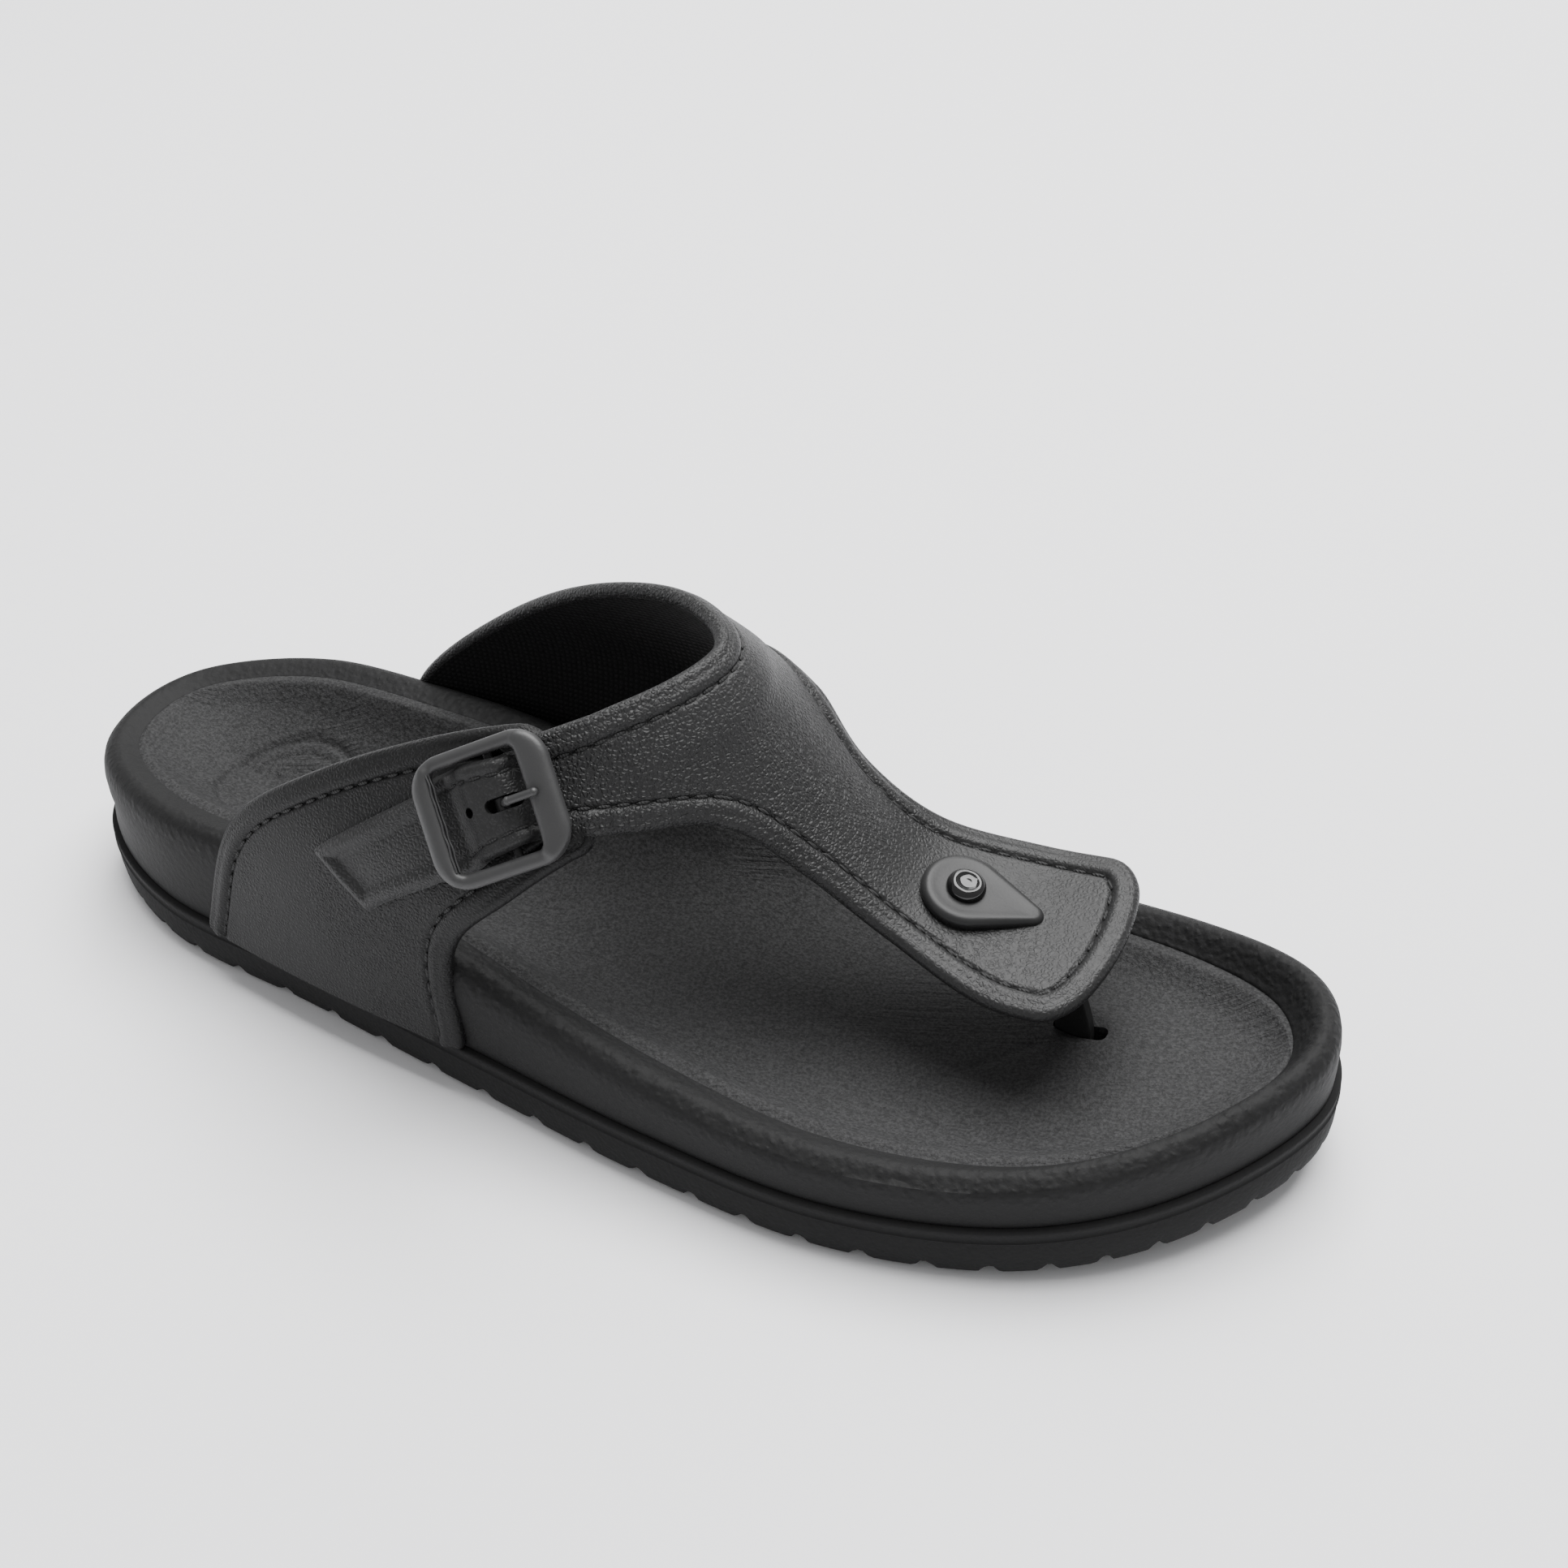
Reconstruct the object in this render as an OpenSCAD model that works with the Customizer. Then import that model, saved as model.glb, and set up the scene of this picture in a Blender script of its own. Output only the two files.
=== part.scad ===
// Thong sandal (flip flop), right foot, with a buckled side panel and a riveted toe post.
// X runs from heel to toe, Y towards the inner side of the foot, Z up; the origin is on the ground
// below the middle of the sole's length.

/* [Sole] */
// Thickness of the outsole, up to its ledge
outsole_t = 12; // [10:0.5:14]
// Rise of the toe end above the ground
toe_spring = 6; // [3:0.5:8]
// Depth of the tread's notches
tread_depth = 1.6; // [1:0.1:2.5]
// Distance between the tread's notches
tread_pitch = 11; // [10:0.5:13]
// Width of the raised rim round the footbed
rim_w = 6.5; // [5:0.5:8]

/* [Strap] */
// Thickness of the strap's outer layer
strap_t = 2.2; // [1.8:0.1:2.8]
// Thickness of the textile lining
lining_t = 0.8; // [0.5:0.1:1]
// Thickness of the holed strap end that runs through the buckle
strap_end_t = 1.4; // [1.2:0.1:1.6]
// Radius of the round piping along the edges
piping_r = 1.4; // [1.2:0.1:1.6]

/* [Buckle] */
// Length of the buckle's opening along the strap
opening_l = 17.6; // [17:0.2:18]
// Width of the buckle's opening across the strap
opening_w = 20; // [19.5:0.5:21]
// Thickness of the buckle frame
frame_t = 2.8; // [2.4:0.2:3]
// Radius of the bar that the prong turns on
bar_r = 0.8; // [0.7:0.05:0.9]
// Running clearance round that bar
bar_gap = 0.05; // [0.03:0.01:0.08]

/* [Toe post] */
// Width of the toe post, along the foot
post_w = 7; // [6:0.5:8]
// Thickness of the toe post, across the foot
post_t = 3; // [2.5:0.5:4]
// Radius of the glossy rivet cap
stud_r = 3.75; // [3:0.25:4.5]
// Height of the drop-shaped plate under the cap
plate_h = 2.6; // [2:0.2:3]

/* [Hidden] */

// ---- curves and grids ----
function mix(a, b, t) = a + (b - a) * t;
function unit(v) = v / max(norm(v), 1e-9);
function spline(a, b, c, d, t) =
    0.5 * (2 * b + (c - a) * t + (2 * a - 5 * b + 4 * c - d) * t * t + (3 * b - a - 3 * c + d) * t * t * t);
// Point on the open curve through P, where t counts the points passed
function along(P, t) =
    let (n = len(P) - 1, s = min(max(t, 0), n - 1e-6), i = floor(s))
    spline(i > 0 ? P[i - 1] : 2 * P[0] - P[1], P[i], P[i + 1],
           i < n - 1 ? P[i + 2] : 2 * P[n] - P[n - 1], s - i);
// Closed curve through P, with m points from each one to the next
function loop(P, m) = let (n = len(P)) [for (i = [0:n - 1]) for (k = [0:m - 1])
    spline(P[(i + n - 1) % n], P[i], P[(i + 1) % n], P[(i + 2) % n], k / m)];
// A height given at seven equal steps from the heel to the toe
function height(H, x) = along(H, (x / sole_half + 1) * (len(H) - 1) / 2);

// A closed solid between two grids of points with the same rows and columns
module slab(outer, inner) {
    r = len(outer);
    c = len(outer[0]);
    n = r * c;
    pts = concat([for (row = outer) for (p = row) p], [for (row = inner) for (p = row) p]);
    function quad(a, b, cc, d) = [[a, cc, b], [a, d, cc]];
    top = [for (i = [0:r - 2]) for (j = [0:c - 2])
        each quad(i * c + j, i * c + j + 1, (i + 1) * c + j + 1, (i + 1) * c + j)];
    under = [for (f = top) [f[2] + n, f[1] + n, f[0] + n]];
    rim = concat([for (j = [0:c - 2]) j], [for (i = [0:r - 2]) i * c + c - 1],
                 [for (j = [c - 1:-1:1]) (r - 1) * c + j], [for (i = [r - 1:-1:1]) i * c]);
    walls = [for (k = [0:len(rim) - 1]) let (a = rim[k], b = rim[(k + 1) % len(rim)])
        each quad(b, a, a + n, b + n)];
    polyhedron(pts, concat(top, under, walls));
}

// ---- sole ----
sole_half = 135;
// Outline of the outsole, from the heel along the outer side to the toe and back along the inner side
OUTLINE = [[-135, 1], [-127, -19.5], [-100, -34], [-60, -38.5], [-17, -44], [23, -48.5], [60, -49],
           [96, -39], [121, -19], [135, 9], [126, 32], [99, 43.5], [60, 44.5], [20, 39], [-19, 31.5],
           [-60, 31.5], [-100, 32], [-127, 20]];
RIM_Z = [31, 35, 36, 28.5, 23, 23.5, 32];
EDGE_Z = [28.5, 33, 34, 26, 20.5, 19.5, 24];
CENTRE_Z = [26, 19, 19, 18.5, 15.5, 16, 21];
BOWL = [2, 2, 2.4, 3, 5, 6, 6];
rim_out = 2.8;
tray_in = rim_out + rim_w;

function ground(x) = toe_spring * pow(max(x - 60, 0) / 75, 2) + 1.5 * pow(max(-105 - x, 0) / 30, 2);
function tread(x) = tread_depth * pow(1 - abs(sin(180 * x / tread_pitch)), 1.5);
// The outline moved inwards by d, with m points from each of its own points to the next
function ring(d, m = 8) =
    let (line = loop(OUTLINE, m), n = len(line))
    [for (i = [0:n - 1]) let (e = line[(i + 1) % n] - line[(i + n - 1) % n]) line[i] + unit([-e[1], e[0]]) * d];
function level(points, z) = [for (p = points) [p[0], p[1], z(p[0])]];

// A solid with stacked rings of points, closed by crossing strips at both ends
module ring_solid(rings) {
    n = len(rings[0]);
    h = n / 2;
    last = (len(rings) - 1) * n;
    sides = [for (k = [0:len(rings) - 2]) for (i = [0:n - 1]) let (a = k * n + i, b = k * n + (i + 1) % n)
        each [[a, a + n, b + n], [a, b + n, b]]];
    function pair(i) = (n - i) % n;
    cap = [for (i = [0:h - 1]) each concat(
        i < h - 1 ? [[i, i + 1, pair(i + 1)]] : [[i, i + 1, pair(i)]],
        i > 0 && i < h - 1 ? [[i, pair(i + 1), pair(i)]] : [])];
    polyhedron([for (r = rings) for (p = r) p],
               concat(sides, cap, [for (f = cap) [f[2] + last, f[1] + last, f[0] + last]]));
}

module outsole() {
    color([0.10, 0.10, 0.10])
    difference() {
        ring_solid([level(ring(7, 16), function(x) ground(x)),
                    level(ring(1.4, 16), function(x) ground(x) + tread(x)),
                    level(ring(0, 16), function(x) ground(x) + 4 + 0.3 * tread(x)),
                    level(ring(0, 16), function(x) ground(x) + outsole_t - 1),
                    level(ring(0.8, 16), function(x) ground(x) + outsole_t)]);
        post_slot();
        translate([post_x, post_y, -1]) cylinder(h = anchor_top + 1, r = anchor_r + 0.1, $fn = 48);
    }
}

function tray_floor(x) = ground(x) + outsole_t + 0.5;

module midsole() {
    color([0.11, 0.11, 0.11])
    difference() {
        ring_solid([level(ring(2), function(x) ground(x) + outsole_t),
                    level(ring(1.2), function(x) mix(ground(x) + outsole_t, height(RIM_Z, x), 0.5)),
                    level(ring(rim_out), function(x) height(RIM_Z, x) - 1),
                    level(ring(rim_out + 2), function(x) height(RIM_Z, x)),
                    level(ring(tray_in - 1), function(x) height(RIM_Z, x) - 1),
                    level(ring(tray_in), function(x) height(EDGE_Z, x) - 0.2),
                    level(ring(tray_in + 0.4), function(x) tray_floor(x))]);
        post_slot();
        strap_seat();
    }
}

// Room for the strap and its lining where they go down into the sole
module strap_seat() {
    translate([0, 0, -1]) {
        slab(band_grid(0, 2.2, 12, -0.05, 1.05, 8, 4), band_grid(0, 2.2, 12, -0.05, 1.05, 8, -layers_t - 0.1));
        slab(band_grid(7.8, 10, 12, -0.05, 1.05, 8, 4), band_grid(7.8, 10, 12, -0.05, 1.05, 8, -layers_t - 0.1));
    }
}

// Height of the footbed's surface at a share s of the way from the middle line to its edge
function bed_z(x, s) = mix(height(CENTRE_Z, x), height(EDGE_Z, x), pow(s, height(BOWL, x)));
bed_parts = 12;

module footbed() {
    edge = ring(tray_in + 0.45);
    n = len(edge);
    top = [for (i = [1:n / 2 - 1]) [for (k = [bed_parts:-1:0])
        let (p = mix(edge[i], edge[n - i], k / bed_parts)) [p[0], p[1], bed_z(p[0], abs(2 * k / bed_parts - 1))]]];
    color([0.13, 0.13, 0.13])
    difference() {
        slab(top, [for (row = top) [for (p = row) [p[0], p[1], tray_floor(p[0]) + 0.02]]]);
        post_slot();
        strap_seat();
    }
}

// ---- strap surface ----
// Rear edge of the upper, from the outer side's ledge over the foot to the inner side's ledge
REAR = [[-85, -37.8, 12.5], [-75.5, -35.5, 40.5], [-55, -33.5, 58], [-25.5, -29, 73.5], [3, -19, 81.5], [16, 4, 86],
        [-1, 20, 84], [-28, 27, 74], [-54, 32, 56], [-76, 31.5, 34], [-79, 33, 12.5]];
// Front edge of the same band, which crosses the neck of the tongue in the middle
FRONT = [[-20, -44.6, 12.5], [-20.8, -42.7, 35.8], [-8.5, -40, 51.5], [7.3, -29.2, 63], [24.5, -14.5, 63.5],
         [31, 6, 66.5], [23, 25, 67], [6, 34, 65], [-12, 38, 53], [-26, 35, 36], [-28, 33.5, 12.5]];
// Outer edge, middle and inner edge of the tongue, from the neck to the tab
TONGUE_OUT = [[24.5, -14.5, 63.5], [38, -8.5, 53.5], [55, -7, 43], [74, -10, 37.5], [88, -9, 37]];
TONGUE_MID = [[31, 6, 66.5], [40, 6.5, 56], [54, 7.5, 44.8], [73, 8.5, 40], [91.5, 9.8, 40.3]];
TONGUE_IN = [[23, 25, 67], [35.5, 21, 56], [51, 22, 46], [70.5, 27, 42], [88, 28, 43.5]];
// Places on the band, as [u, v], along the two edges of the strap end, from its tip to the buckle's front
END_TOP = [[1.4, 0.34], [2.53, 0.31], [3.59, 0.11]];
END_LOW = [[1.07, 0.69], [1.88, 0.8], [2.98, 0.86]];
crown = 1.2;
layers_t = strap_t + lining_t;

// u counts the points passed from the outer side to the inner side, v goes from the rear edge to the front
function band(u, v) = mix(along(REAR, u), along(FRONT, u), v);
function band_normal(u, v) = let (e = 0.02)
    unit(cross(along(FRONT, u) - along(REAR, u), band(u + e, v) - band(u - e, v)));
function lifted(u, v, h) = band(u, v) + band_normal(u, v) * (h + crown * 4 * v * (1 - v));
function band_grid(u0, u1, nu, v0, v1, nv, h) = [for (i = [0:nu]) [for (j = [0:nv])
    lifted(mix(u0, u1, i / nu), mix(v0, v1, j / nv), h)]];

// The tongue is rooted a little way inside the band
function rooted(u, curve) = concat([lifted(u, 0.8, -0.15)], curve);
function tongue(t, w) = let (s = t + 1, a = along(rooted(3.95, TONGUE_OUT), s), m = along(rooted(5, TONGUE_MID), s),
                             b = along(rooted(6.05, TONGUE_IN), s))
    a * w * (w - 1) / 2 + m * (1 - w * w) + b * w * (w + 1) / 2;
function tongue_normal(s, w) = let (e = 0.02, ww = min(max(w, -0.97), 0.97), ss = min(max(s, e - 1), 4 - e))
    unit(cross(tongue(ss + e, ww) - tongue(ss - e, ww), tongue(ss, ww + e) - tongue(ss, ww - e)));
function tab_end(w) = 4 - 0.16 * pow(abs(w), 9);
function on_tongue(s, w, h) = tongue(s, w) + tongue_normal(s, w) * h;
function tongue_grid(ns, nw, h) = [for (i = [0:ns]) [for (j = [0:nw])
    let (w = 2 * j / nw - 1) on_tongue(mix(-0.95, tab_end(w), i / ns), w, h)]];

// Where the side panel ends in front of the buckle
function patch_end(v) = mix(3.62, 2.99, v) - 0.1 * pow(abs(2 * v - 1), 8);
function panel_grid(u0, nu, nv, h) = [for (i = [0:nu]) [for (j = [0:nv])
    lifted(mix(u0, patch_end(j / nv), i / nu), j / nv, h)]];
// The strap starts at the end of the side panel, narrower, and reaches its full width soon after
function neck(t) = pow(max(1 - t * 9, 0), 2);
function strap_place(t, w, gap) =
    let (v = mix(0.09 * neck(t), 1 - 0.13 * neck(t), w)) [mix(patch_end(v) + gap, 10, t), v];
function strap_grid(nu, nv, h, rise) = [for (i = [0:nu]) [for (j = [0:nv])
    let (q = strap_place(i / nu, j / nv, 0.03)) lifted(q[0], q[1], h + rise * neck(i / nu))]];

module quarter() {
    color([0.12, 0.12, 0.12])
    slab(panel_grid(0, 24, 10, 0), panel_grid(0, 24, 10, -strap_t));
}

module quarter_lining() {
    color([0.05, 0.05, 0.05])
    slab(panel_grid(0, 24, 10, -strap_t - 0.02), panel_grid(0, 24, 10, -layers_t));
}

module strap_skin() {
    slab(strap_grid(44, 10, 0, 1.2), strap_grid(44, 10, -strap_t, 0));
    slab(tongue_grid(24, 12, -strap_t), tongue_grid(24, 12, 0));
}

module upper_strap() {
    color([0.13, 0.13, 0.13])
    difference() {
        union() strap_skin();
        on_stud() cylinder(h = 20, r = shank_r, center = true, $fn = 32);
    }
}

module upper_lining() {
    color([0.05, 0.05, 0.05])
    difference() {
        union() {
            slab(strap_grid(44, 10, -strap_t - 0.02, 0), strap_grid(44, 10, -layers_t, 0));
            slab(tongue_grid(24, 12, -layers_t), tongue_grid(24, 12, -strap_t - 0.02));
        }
        strap_skin();
        on_stud() cylinder(h = 20, r = shank_r, center = true, $fn = 32);
    }
}

// The holed end of the strap, which rises over the buckle's bar
end_parts = 36;
function ease(a, b, x) = let (t = min(max((x - a) / (b - a), 0), 1)) t * t * (3 - 2 * t);
function hump(p) = let (x = (p - BUCKLE_AT) * strap_dir) hump_h * ease(-7, -1, x) * ease(9, 4.6, x);
// The strap end is wider inside the buckle's opening than under the bars
function widened(q, side) = let (x = (lifted(q[0], q[1], 0) - BUCKLE_AT) * strap_dir)
    q + [0, side * ease(-13, -8.5, x) * ease(12, 8.5, x)];
function end_grid(nv, h) = [for (i = [0:end_parts]) [for (j = [0:nv])
    let (q = mix(widened(along(END_TOP, 2 * i / end_parts), -0.05),
                 widened(along(END_LOW, 2 * i / end_parts), 0.03), j / nv),
         rise = hump(lifted(q[0], q[1], 0)))
    lifted(q[0], q[1], h + rise)]];

module strap_end() {
    color([0.13, 0.13, 0.13])
    difference() {
        slab(end_grid(6, 0.05 + strap_end_t), end_grid(6, 0.05));
        on_buckle() {
            for (x = [bar_x - 0.9, bar_x + 3.6])
                translate([x, 0, 0]) cylinder(h = 14, r = slot_r, center = true, $fn = 32);
            translate([bar_x - 0.9, -slot_r, -7]) cube([4.5, 2 * slot_r, 14]);
            translate([hole_x, 0, 0]) cylinder(h = 12, r = hole_r, center = true, $fn = 32);
        }
    }
}

// ---- piping ----
// A round tube along points, each with the normal of the surface that it edges
module tube(stations, r, sides = 8) {
    n = len(stations);
    rings = [for (i = [0:n - 1])
        let (t = unit(stations[min(i + 1, n - 1)][0] - stations[max(i - 1, 0)][0]),
             s = unit(cross(t, stations[i][1])), m = cross(s, t))
        [for (k = [0:sides - 1]) stations[i][0] + (m * cos(360 * k / sides) + s * sin(360 * k / sides)) * r]];
    sides_faces = [for (i = [0:n - 2]) for (k = [0:sides - 1])
        let (a = i * sides + k, b = i * sides + (k + 1) % sides)
        each [[a, a + sides, b + sides], [a, b + sides, b]]];
    first = [for (k = [0:sides - 1]) k];
    last = [for (k = [sides - 1:-1:0]) (n - 1) * sides + k];
    polyhedron([for (r = rings) for (p = r) p], concat(sides_faces, [first, last]));
}
piping_h = -strap_t / 2;
function band_station(q) = [lifted(q[0], q[1], piping_h), band_normal(q[0], q[1])];
function tongue_station(s, w) = [on_tongue(s, w, piping_h), tongue_normal(s, w)];

module quarter_piping() {
    color([0.12, 0.12, 0.12]) {
        tube([for (i = [0:24]) band_station([mix(0.1, patch_end(0) - 0.08, i / 24), 0])], piping_r);
        tube([for (i = [0:22]) band_station([mix(0.1, patch_end(1) - 0.08, i / 22), 1])], piping_r);
    }
}

module upper_piping() {
    color([0.13, 0.13, 0.13]) {
        tube([for (i = [1:44]) band_station(strap_place(mix(0.012, 0.985, i / 44), 0, 0.1))], piping_r);
        tube([for (i = [1:14]) band_station(strap_place(mix(0.012, 0.105, i / 14), 1, 0.1))], piping_r);
        tube([for (i = [0:26]) band_station([mix(6.05, 9.9, i / 26), 1])], piping_r);
    }
}

module tongue_piping() {
    color([0.13, 0.13, 0.13])
    tube(concat([for (i = [0:22]) tongue_station(mix(0.12, tab_end(1), i / 22), -1)],
                [for (w = [-0.92, -0.8, -0.6, -0.3, 0, 0.3, 0.6, 0.8, 0.92]) tongue_station(tab_end(w), w)],
                [for (i = [22:-1:0]) tongue_station(mix(0.12, tab_end(1), i / 22), 1)]), piping_r);
}

// ---- toe post ----
post_x = 85;
post_y = 10.2;
post_lean = -6;
post_top = 37.6;
anchor_top = 4.7;
anchor_r = 9;
anchor_t = 3.6;
slot_w = post_t + 1;

module post_slot() {
    translate([post_x - post_w / 2 - 0.8, post_y - slot_w / 2, anchor_top - 0.1]) cube([post_w + 3.4, slot_w, 40]);
}

module toe_post() {
    color([0.06, 0.06, 0.06]) {
        translate([post_x - post_w / 2, post_y - post_t / 2, anchor_top]) cube([post_w, post_t, 17.1 - anchor_top]);
        hull() {
            translate([post_x - post_w / 2, post_y - post_t / 2, 17]) cube([post_w, post_t, 0.1]);
            translate([post_x + post_lean - post_w / 2, post_y - post_t / 2, post_top - 0.1])
                cube([post_w, post_t, 0.1]);
        }
    }
}

module post_anchor() {
    color([0.06, 0.06, 0.06])
    translate([post_x, post_y, anchor_top - anchor_t]) cylinder(h = anchor_t, r = anchor_r, $fn = 48);
}

// ---- rivet ----
stud_s = 2.45;
stud_w = 0;
shank_r = 1.5;
cap_rise = 2;
plate_turn = 7;
// Puts the children on the tongue, with x towards the tab and z out of the surface
module on_stud() {
    z = tongue_normal(stud_s, stud_w);
    x = unit(cross(cross(z, tongue(stud_s + 0.1, stud_w) - tongue(stud_s - 0.1, stud_w)), z));
    placed(tongue(stud_s, stud_w), x, z) children();
}
module placed(p, x, z) {
    y = cross(z, x);
    multmatrix([[x[0], y[0], z[0], p[0]], [x[1], y[1], z[1], p[1]], [x[2], y[2], z[2], p[2]]]) children();
}

module drop_plate() {
    color([0.10, 0.10, 0.10])
    on_stud() rotate(plate_turn) difference() {
        translate([0, 0, -0.4]) linear_extrude(plate_h + 0.4) hull() {
            circle(r = 8.2, $fn = 48);
            translate([13.2, 0]) circle(r = 2.2, $fn = 24);
        }
        cylinder(h = 20, r = shank_r, center = true, $fn = 32);
    }
}

module stud() {
    dome_r = (stud_r * stud_r + cap_rise * cap_rise) / (2 * cap_rise);
    color([0.02, 0.02, 0.02])
    on_stud() {
        intersection() {
            translate([0, 0, plate_h + cap_rise - dome_r]) sphere(r = dome_r, $fn = 48);
            translate([0, 0, plate_h]) cylinder(h = 10, r = stud_r, $fn = 48);
        }
        translate([0, 0, -layers_t - 1.5]) cylinder(h = layers_t + 1.5 + plate_h, r = shank_r, $fn = 32);
    }
}

module stud_back() {
    color([0.3, 0.3, 0.3])
    on_stud() translate([0, 0, -layers_t - 1.1]) difference() {
        cylinder(h = 1, r = 4, $fn = 48);
        cylinder(h = 4, r = shank_r, center = true, $fn = 32);
    }
}

// ---- buckle ----
// Middle of the buckle's opening, on the side panel's surface, and the way the strap runs there
BUCKLE_AT = [-12.4, -32.6, 65.7];
out_dir = unit([0.113, -0.836, 0.537]);
strap_dir = unit([0.835, 0.373, 0.405] - out_dir * ([0.835, 0.373, 0.405] * out_dir));
front_bar_w = 5.8;
rear_bar_w = 4.4;
rail_w = 2.9;
opening_x = 0.7;
frame_z = 4.2;
bar_x = 3;
bar_z = 2;
loop_wall = 0.5;
loop_r = bar_r + bar_gap + loop_wall;
hump_h = bar_z + loop_r + 0.35;
slot_r = 1.3;
hole_x = -2.8;
hole_r = 1;
prong_r = 0.75;

// Puts the children on the side panel at the buckle, with x along the strap and z out of the surface
module on_buckle() { placed(BUCKLE_AT, strap_dir, out_dir) children(); }
module along_bar(length, r) { rotate([90, 0, 0]) cylinder(h = length, r = r, center = true, $fn = 48); }
module rounded(l, w, r) {
    square([l - 2 * r, w], center = true);
    square([l, w - 2 * r], center = true);
    for (x = [-1, 1], y = [-1, 1]) translate([x * (l / 2 - r), y * (w / 2 - r)]) circle(r = r, $fn = 48);
}

module buckle_frame() {
    ear_y = opening_w / 2 + rail_w / 2;
    color([0.09, 0.09, 0.09])
    on_buckle() difference() {
        union() {
            translate([opening_x, 0, frame_z - frame_t / 2]) linear_extrude(frame_t) difference() {
                translate([(front_bar_w - rear_bar_w) / 2, 0])
                    rounded(opening_l + front_bar_w + rear_bar_w, opening_w + 2 * rail_w, 7);
                rounded(opening_l, opening_w, 1);
            }
            for (y = [-ear_y, ear_y])
                translate([bar_x, y, bar_z - 1]) cylinder(h = frame_z - bar_z + 1, r = 1.2, $fn = 32);
        }
        translate([bar_x, 0, bar_z]) along_bar(2 * ear_y + 1.6, bar_r);
    }
}

module buckle_bar() {
    color([0.4, 0.4, 0.42])
    on_buckle() translate([bar_x, 0, bar_z]) along_bar(opening_w + rail_w + 1.6, bar_r);
}

module bar_loops() {
    color([0.12, 0.12, 0.12])
    on_buckle() for (y = [-4.4, 4.4]) translate([bar_x, y, bar_z]) difference() {
        union() {
            along_bar(3.6, loop_r);
            translate([-1.2, -1.8, -bar_z - 0.4]) cube([2.4, 3.6, bar_z]);
        }
        along_bar(6, bar_r + bar_gap);
    }
}

module buckle_prong() {
    knee = [bar_x + 3.1, frame_z + frame_t / 2 + prong_r + 0.1];
    tip_x = bar_x + 8.4;
    rise = [knee[0] - bar_x, knee[1] - bar_z];
    lean = atan2(rise[0], rise[1]);
    color([0.09, 0.09, 0.09])
    on_buckle() difference() {
        union() {
            translate([bar_x, 0, bar_z]) along_bar(2.2, loop_r);
            translate([bar_x, 0, bar_z]) rotate([0, lean, 0]) cylinder(h = norm(rise), r = prong_r, $fn = 32);
            translate([knee[0], 0, knee[1]]) sphere(r = prong_r + 0.08, $fn = 32);
            translate([knee[0], 0, knee[1]]) rotate([0, 90, 0]) cylinder(h = tip_x - knee[0], r = prong_r, $fn = 32);
            translate([tip_x, 0, knee[1]]) sphere(r = prong_r + 0.05, $fn = 32);
        }
        translate([bar_x, 0, bar_z]) along_bar(6, bar_r + bar_gap);
    }
}

outsole();
midsole();
footbed();
quarter();
quarter_lining();
quarter_piping();
upper_strap();
upper_lining();
upper_piping();
tongue_piping();
strap_end();
toe_post();
post_anchor();
drop_plate();
stud();
stud_back();
buckle_frame();
buckle_bar();
bar_loops();
buckle_prong();
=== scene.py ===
# A thong sandal for the right foot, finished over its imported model: moulded foam sole, strap with a tongue
# and a side buckle, and a toe post under a riveted tab. The sections follow the order of assembly.
import math

import bmesh
import bpy
from mathutils import Matrix, Vector
from mathutils.bvhtree import BVHTree
from mathutils.kdtree import KDTree


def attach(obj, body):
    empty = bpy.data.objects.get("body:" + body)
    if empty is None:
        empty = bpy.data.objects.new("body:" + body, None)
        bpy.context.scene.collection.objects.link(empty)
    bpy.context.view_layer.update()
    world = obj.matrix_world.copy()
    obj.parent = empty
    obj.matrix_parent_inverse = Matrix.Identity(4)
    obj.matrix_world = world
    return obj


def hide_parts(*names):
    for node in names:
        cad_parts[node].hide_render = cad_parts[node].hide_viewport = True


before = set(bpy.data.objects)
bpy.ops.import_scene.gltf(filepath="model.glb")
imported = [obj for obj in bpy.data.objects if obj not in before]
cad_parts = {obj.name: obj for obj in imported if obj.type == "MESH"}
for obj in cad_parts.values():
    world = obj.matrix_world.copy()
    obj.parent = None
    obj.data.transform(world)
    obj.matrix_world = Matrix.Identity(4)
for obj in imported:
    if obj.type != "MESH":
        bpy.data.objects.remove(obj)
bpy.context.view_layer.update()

MM = 0.001

# ---- Camera, light and floor ----
# The camera looks down on the outer side of the shoe from in front, a little tilted, through a short
# telephoto lens. The floor is plain and pale, and large soft lamps hang over it.
aim = Vector((2.6, 48.0, 20.0)) * MM
azimuth, elevation, tilt = math.radians(29.19), math.radians(37.77), math.radians(-2.07)
back = Vector((math.sin(azimuth) * math.cos(elevation), -math.cos(azimuth) * math.cos(elevation), math.sin(elevation)))
level_side = (-back).cross(Vector((0, 0, 1))).normalized()
level_top = level_side.cross(-back)
side = level_side * math.cos(tilt) + level_top * math.sin(tilt)
top = level_top * math.cos(tilt) - level_side * math.sin(tilt)
camera_data = bpy.data.cameras.new("camera")
camera_data.lens = 52.72
camera_data.clip_start = 0.02
camera = bpy.data.objects.new("camera", camera_data)
camera.matrix_world = (Matrix.Translation(aim + back * 490.8 * MM)
                       @ Matrix((side, top, back)).transposed().to_4x4())
bpy.context.scene.collection.objects.link(camera)
bpy.context.scene.camera = camera


def soft_lamp(name, place, size, power):
    lamp = bpy.data.lights.new(name, "AREA")
    lamp.size = size
    lamp.energy = power
    holder = bpy.data.objects.new(name, lamp)
    holder.location = place
    holder.rotation_euler = (Vector((0, 0, 0.03)) - Vector(place)).to_track_quat("-Z", "Y").to_euler()
    bpy.context.scene.collection.objects.link(holder)


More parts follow.
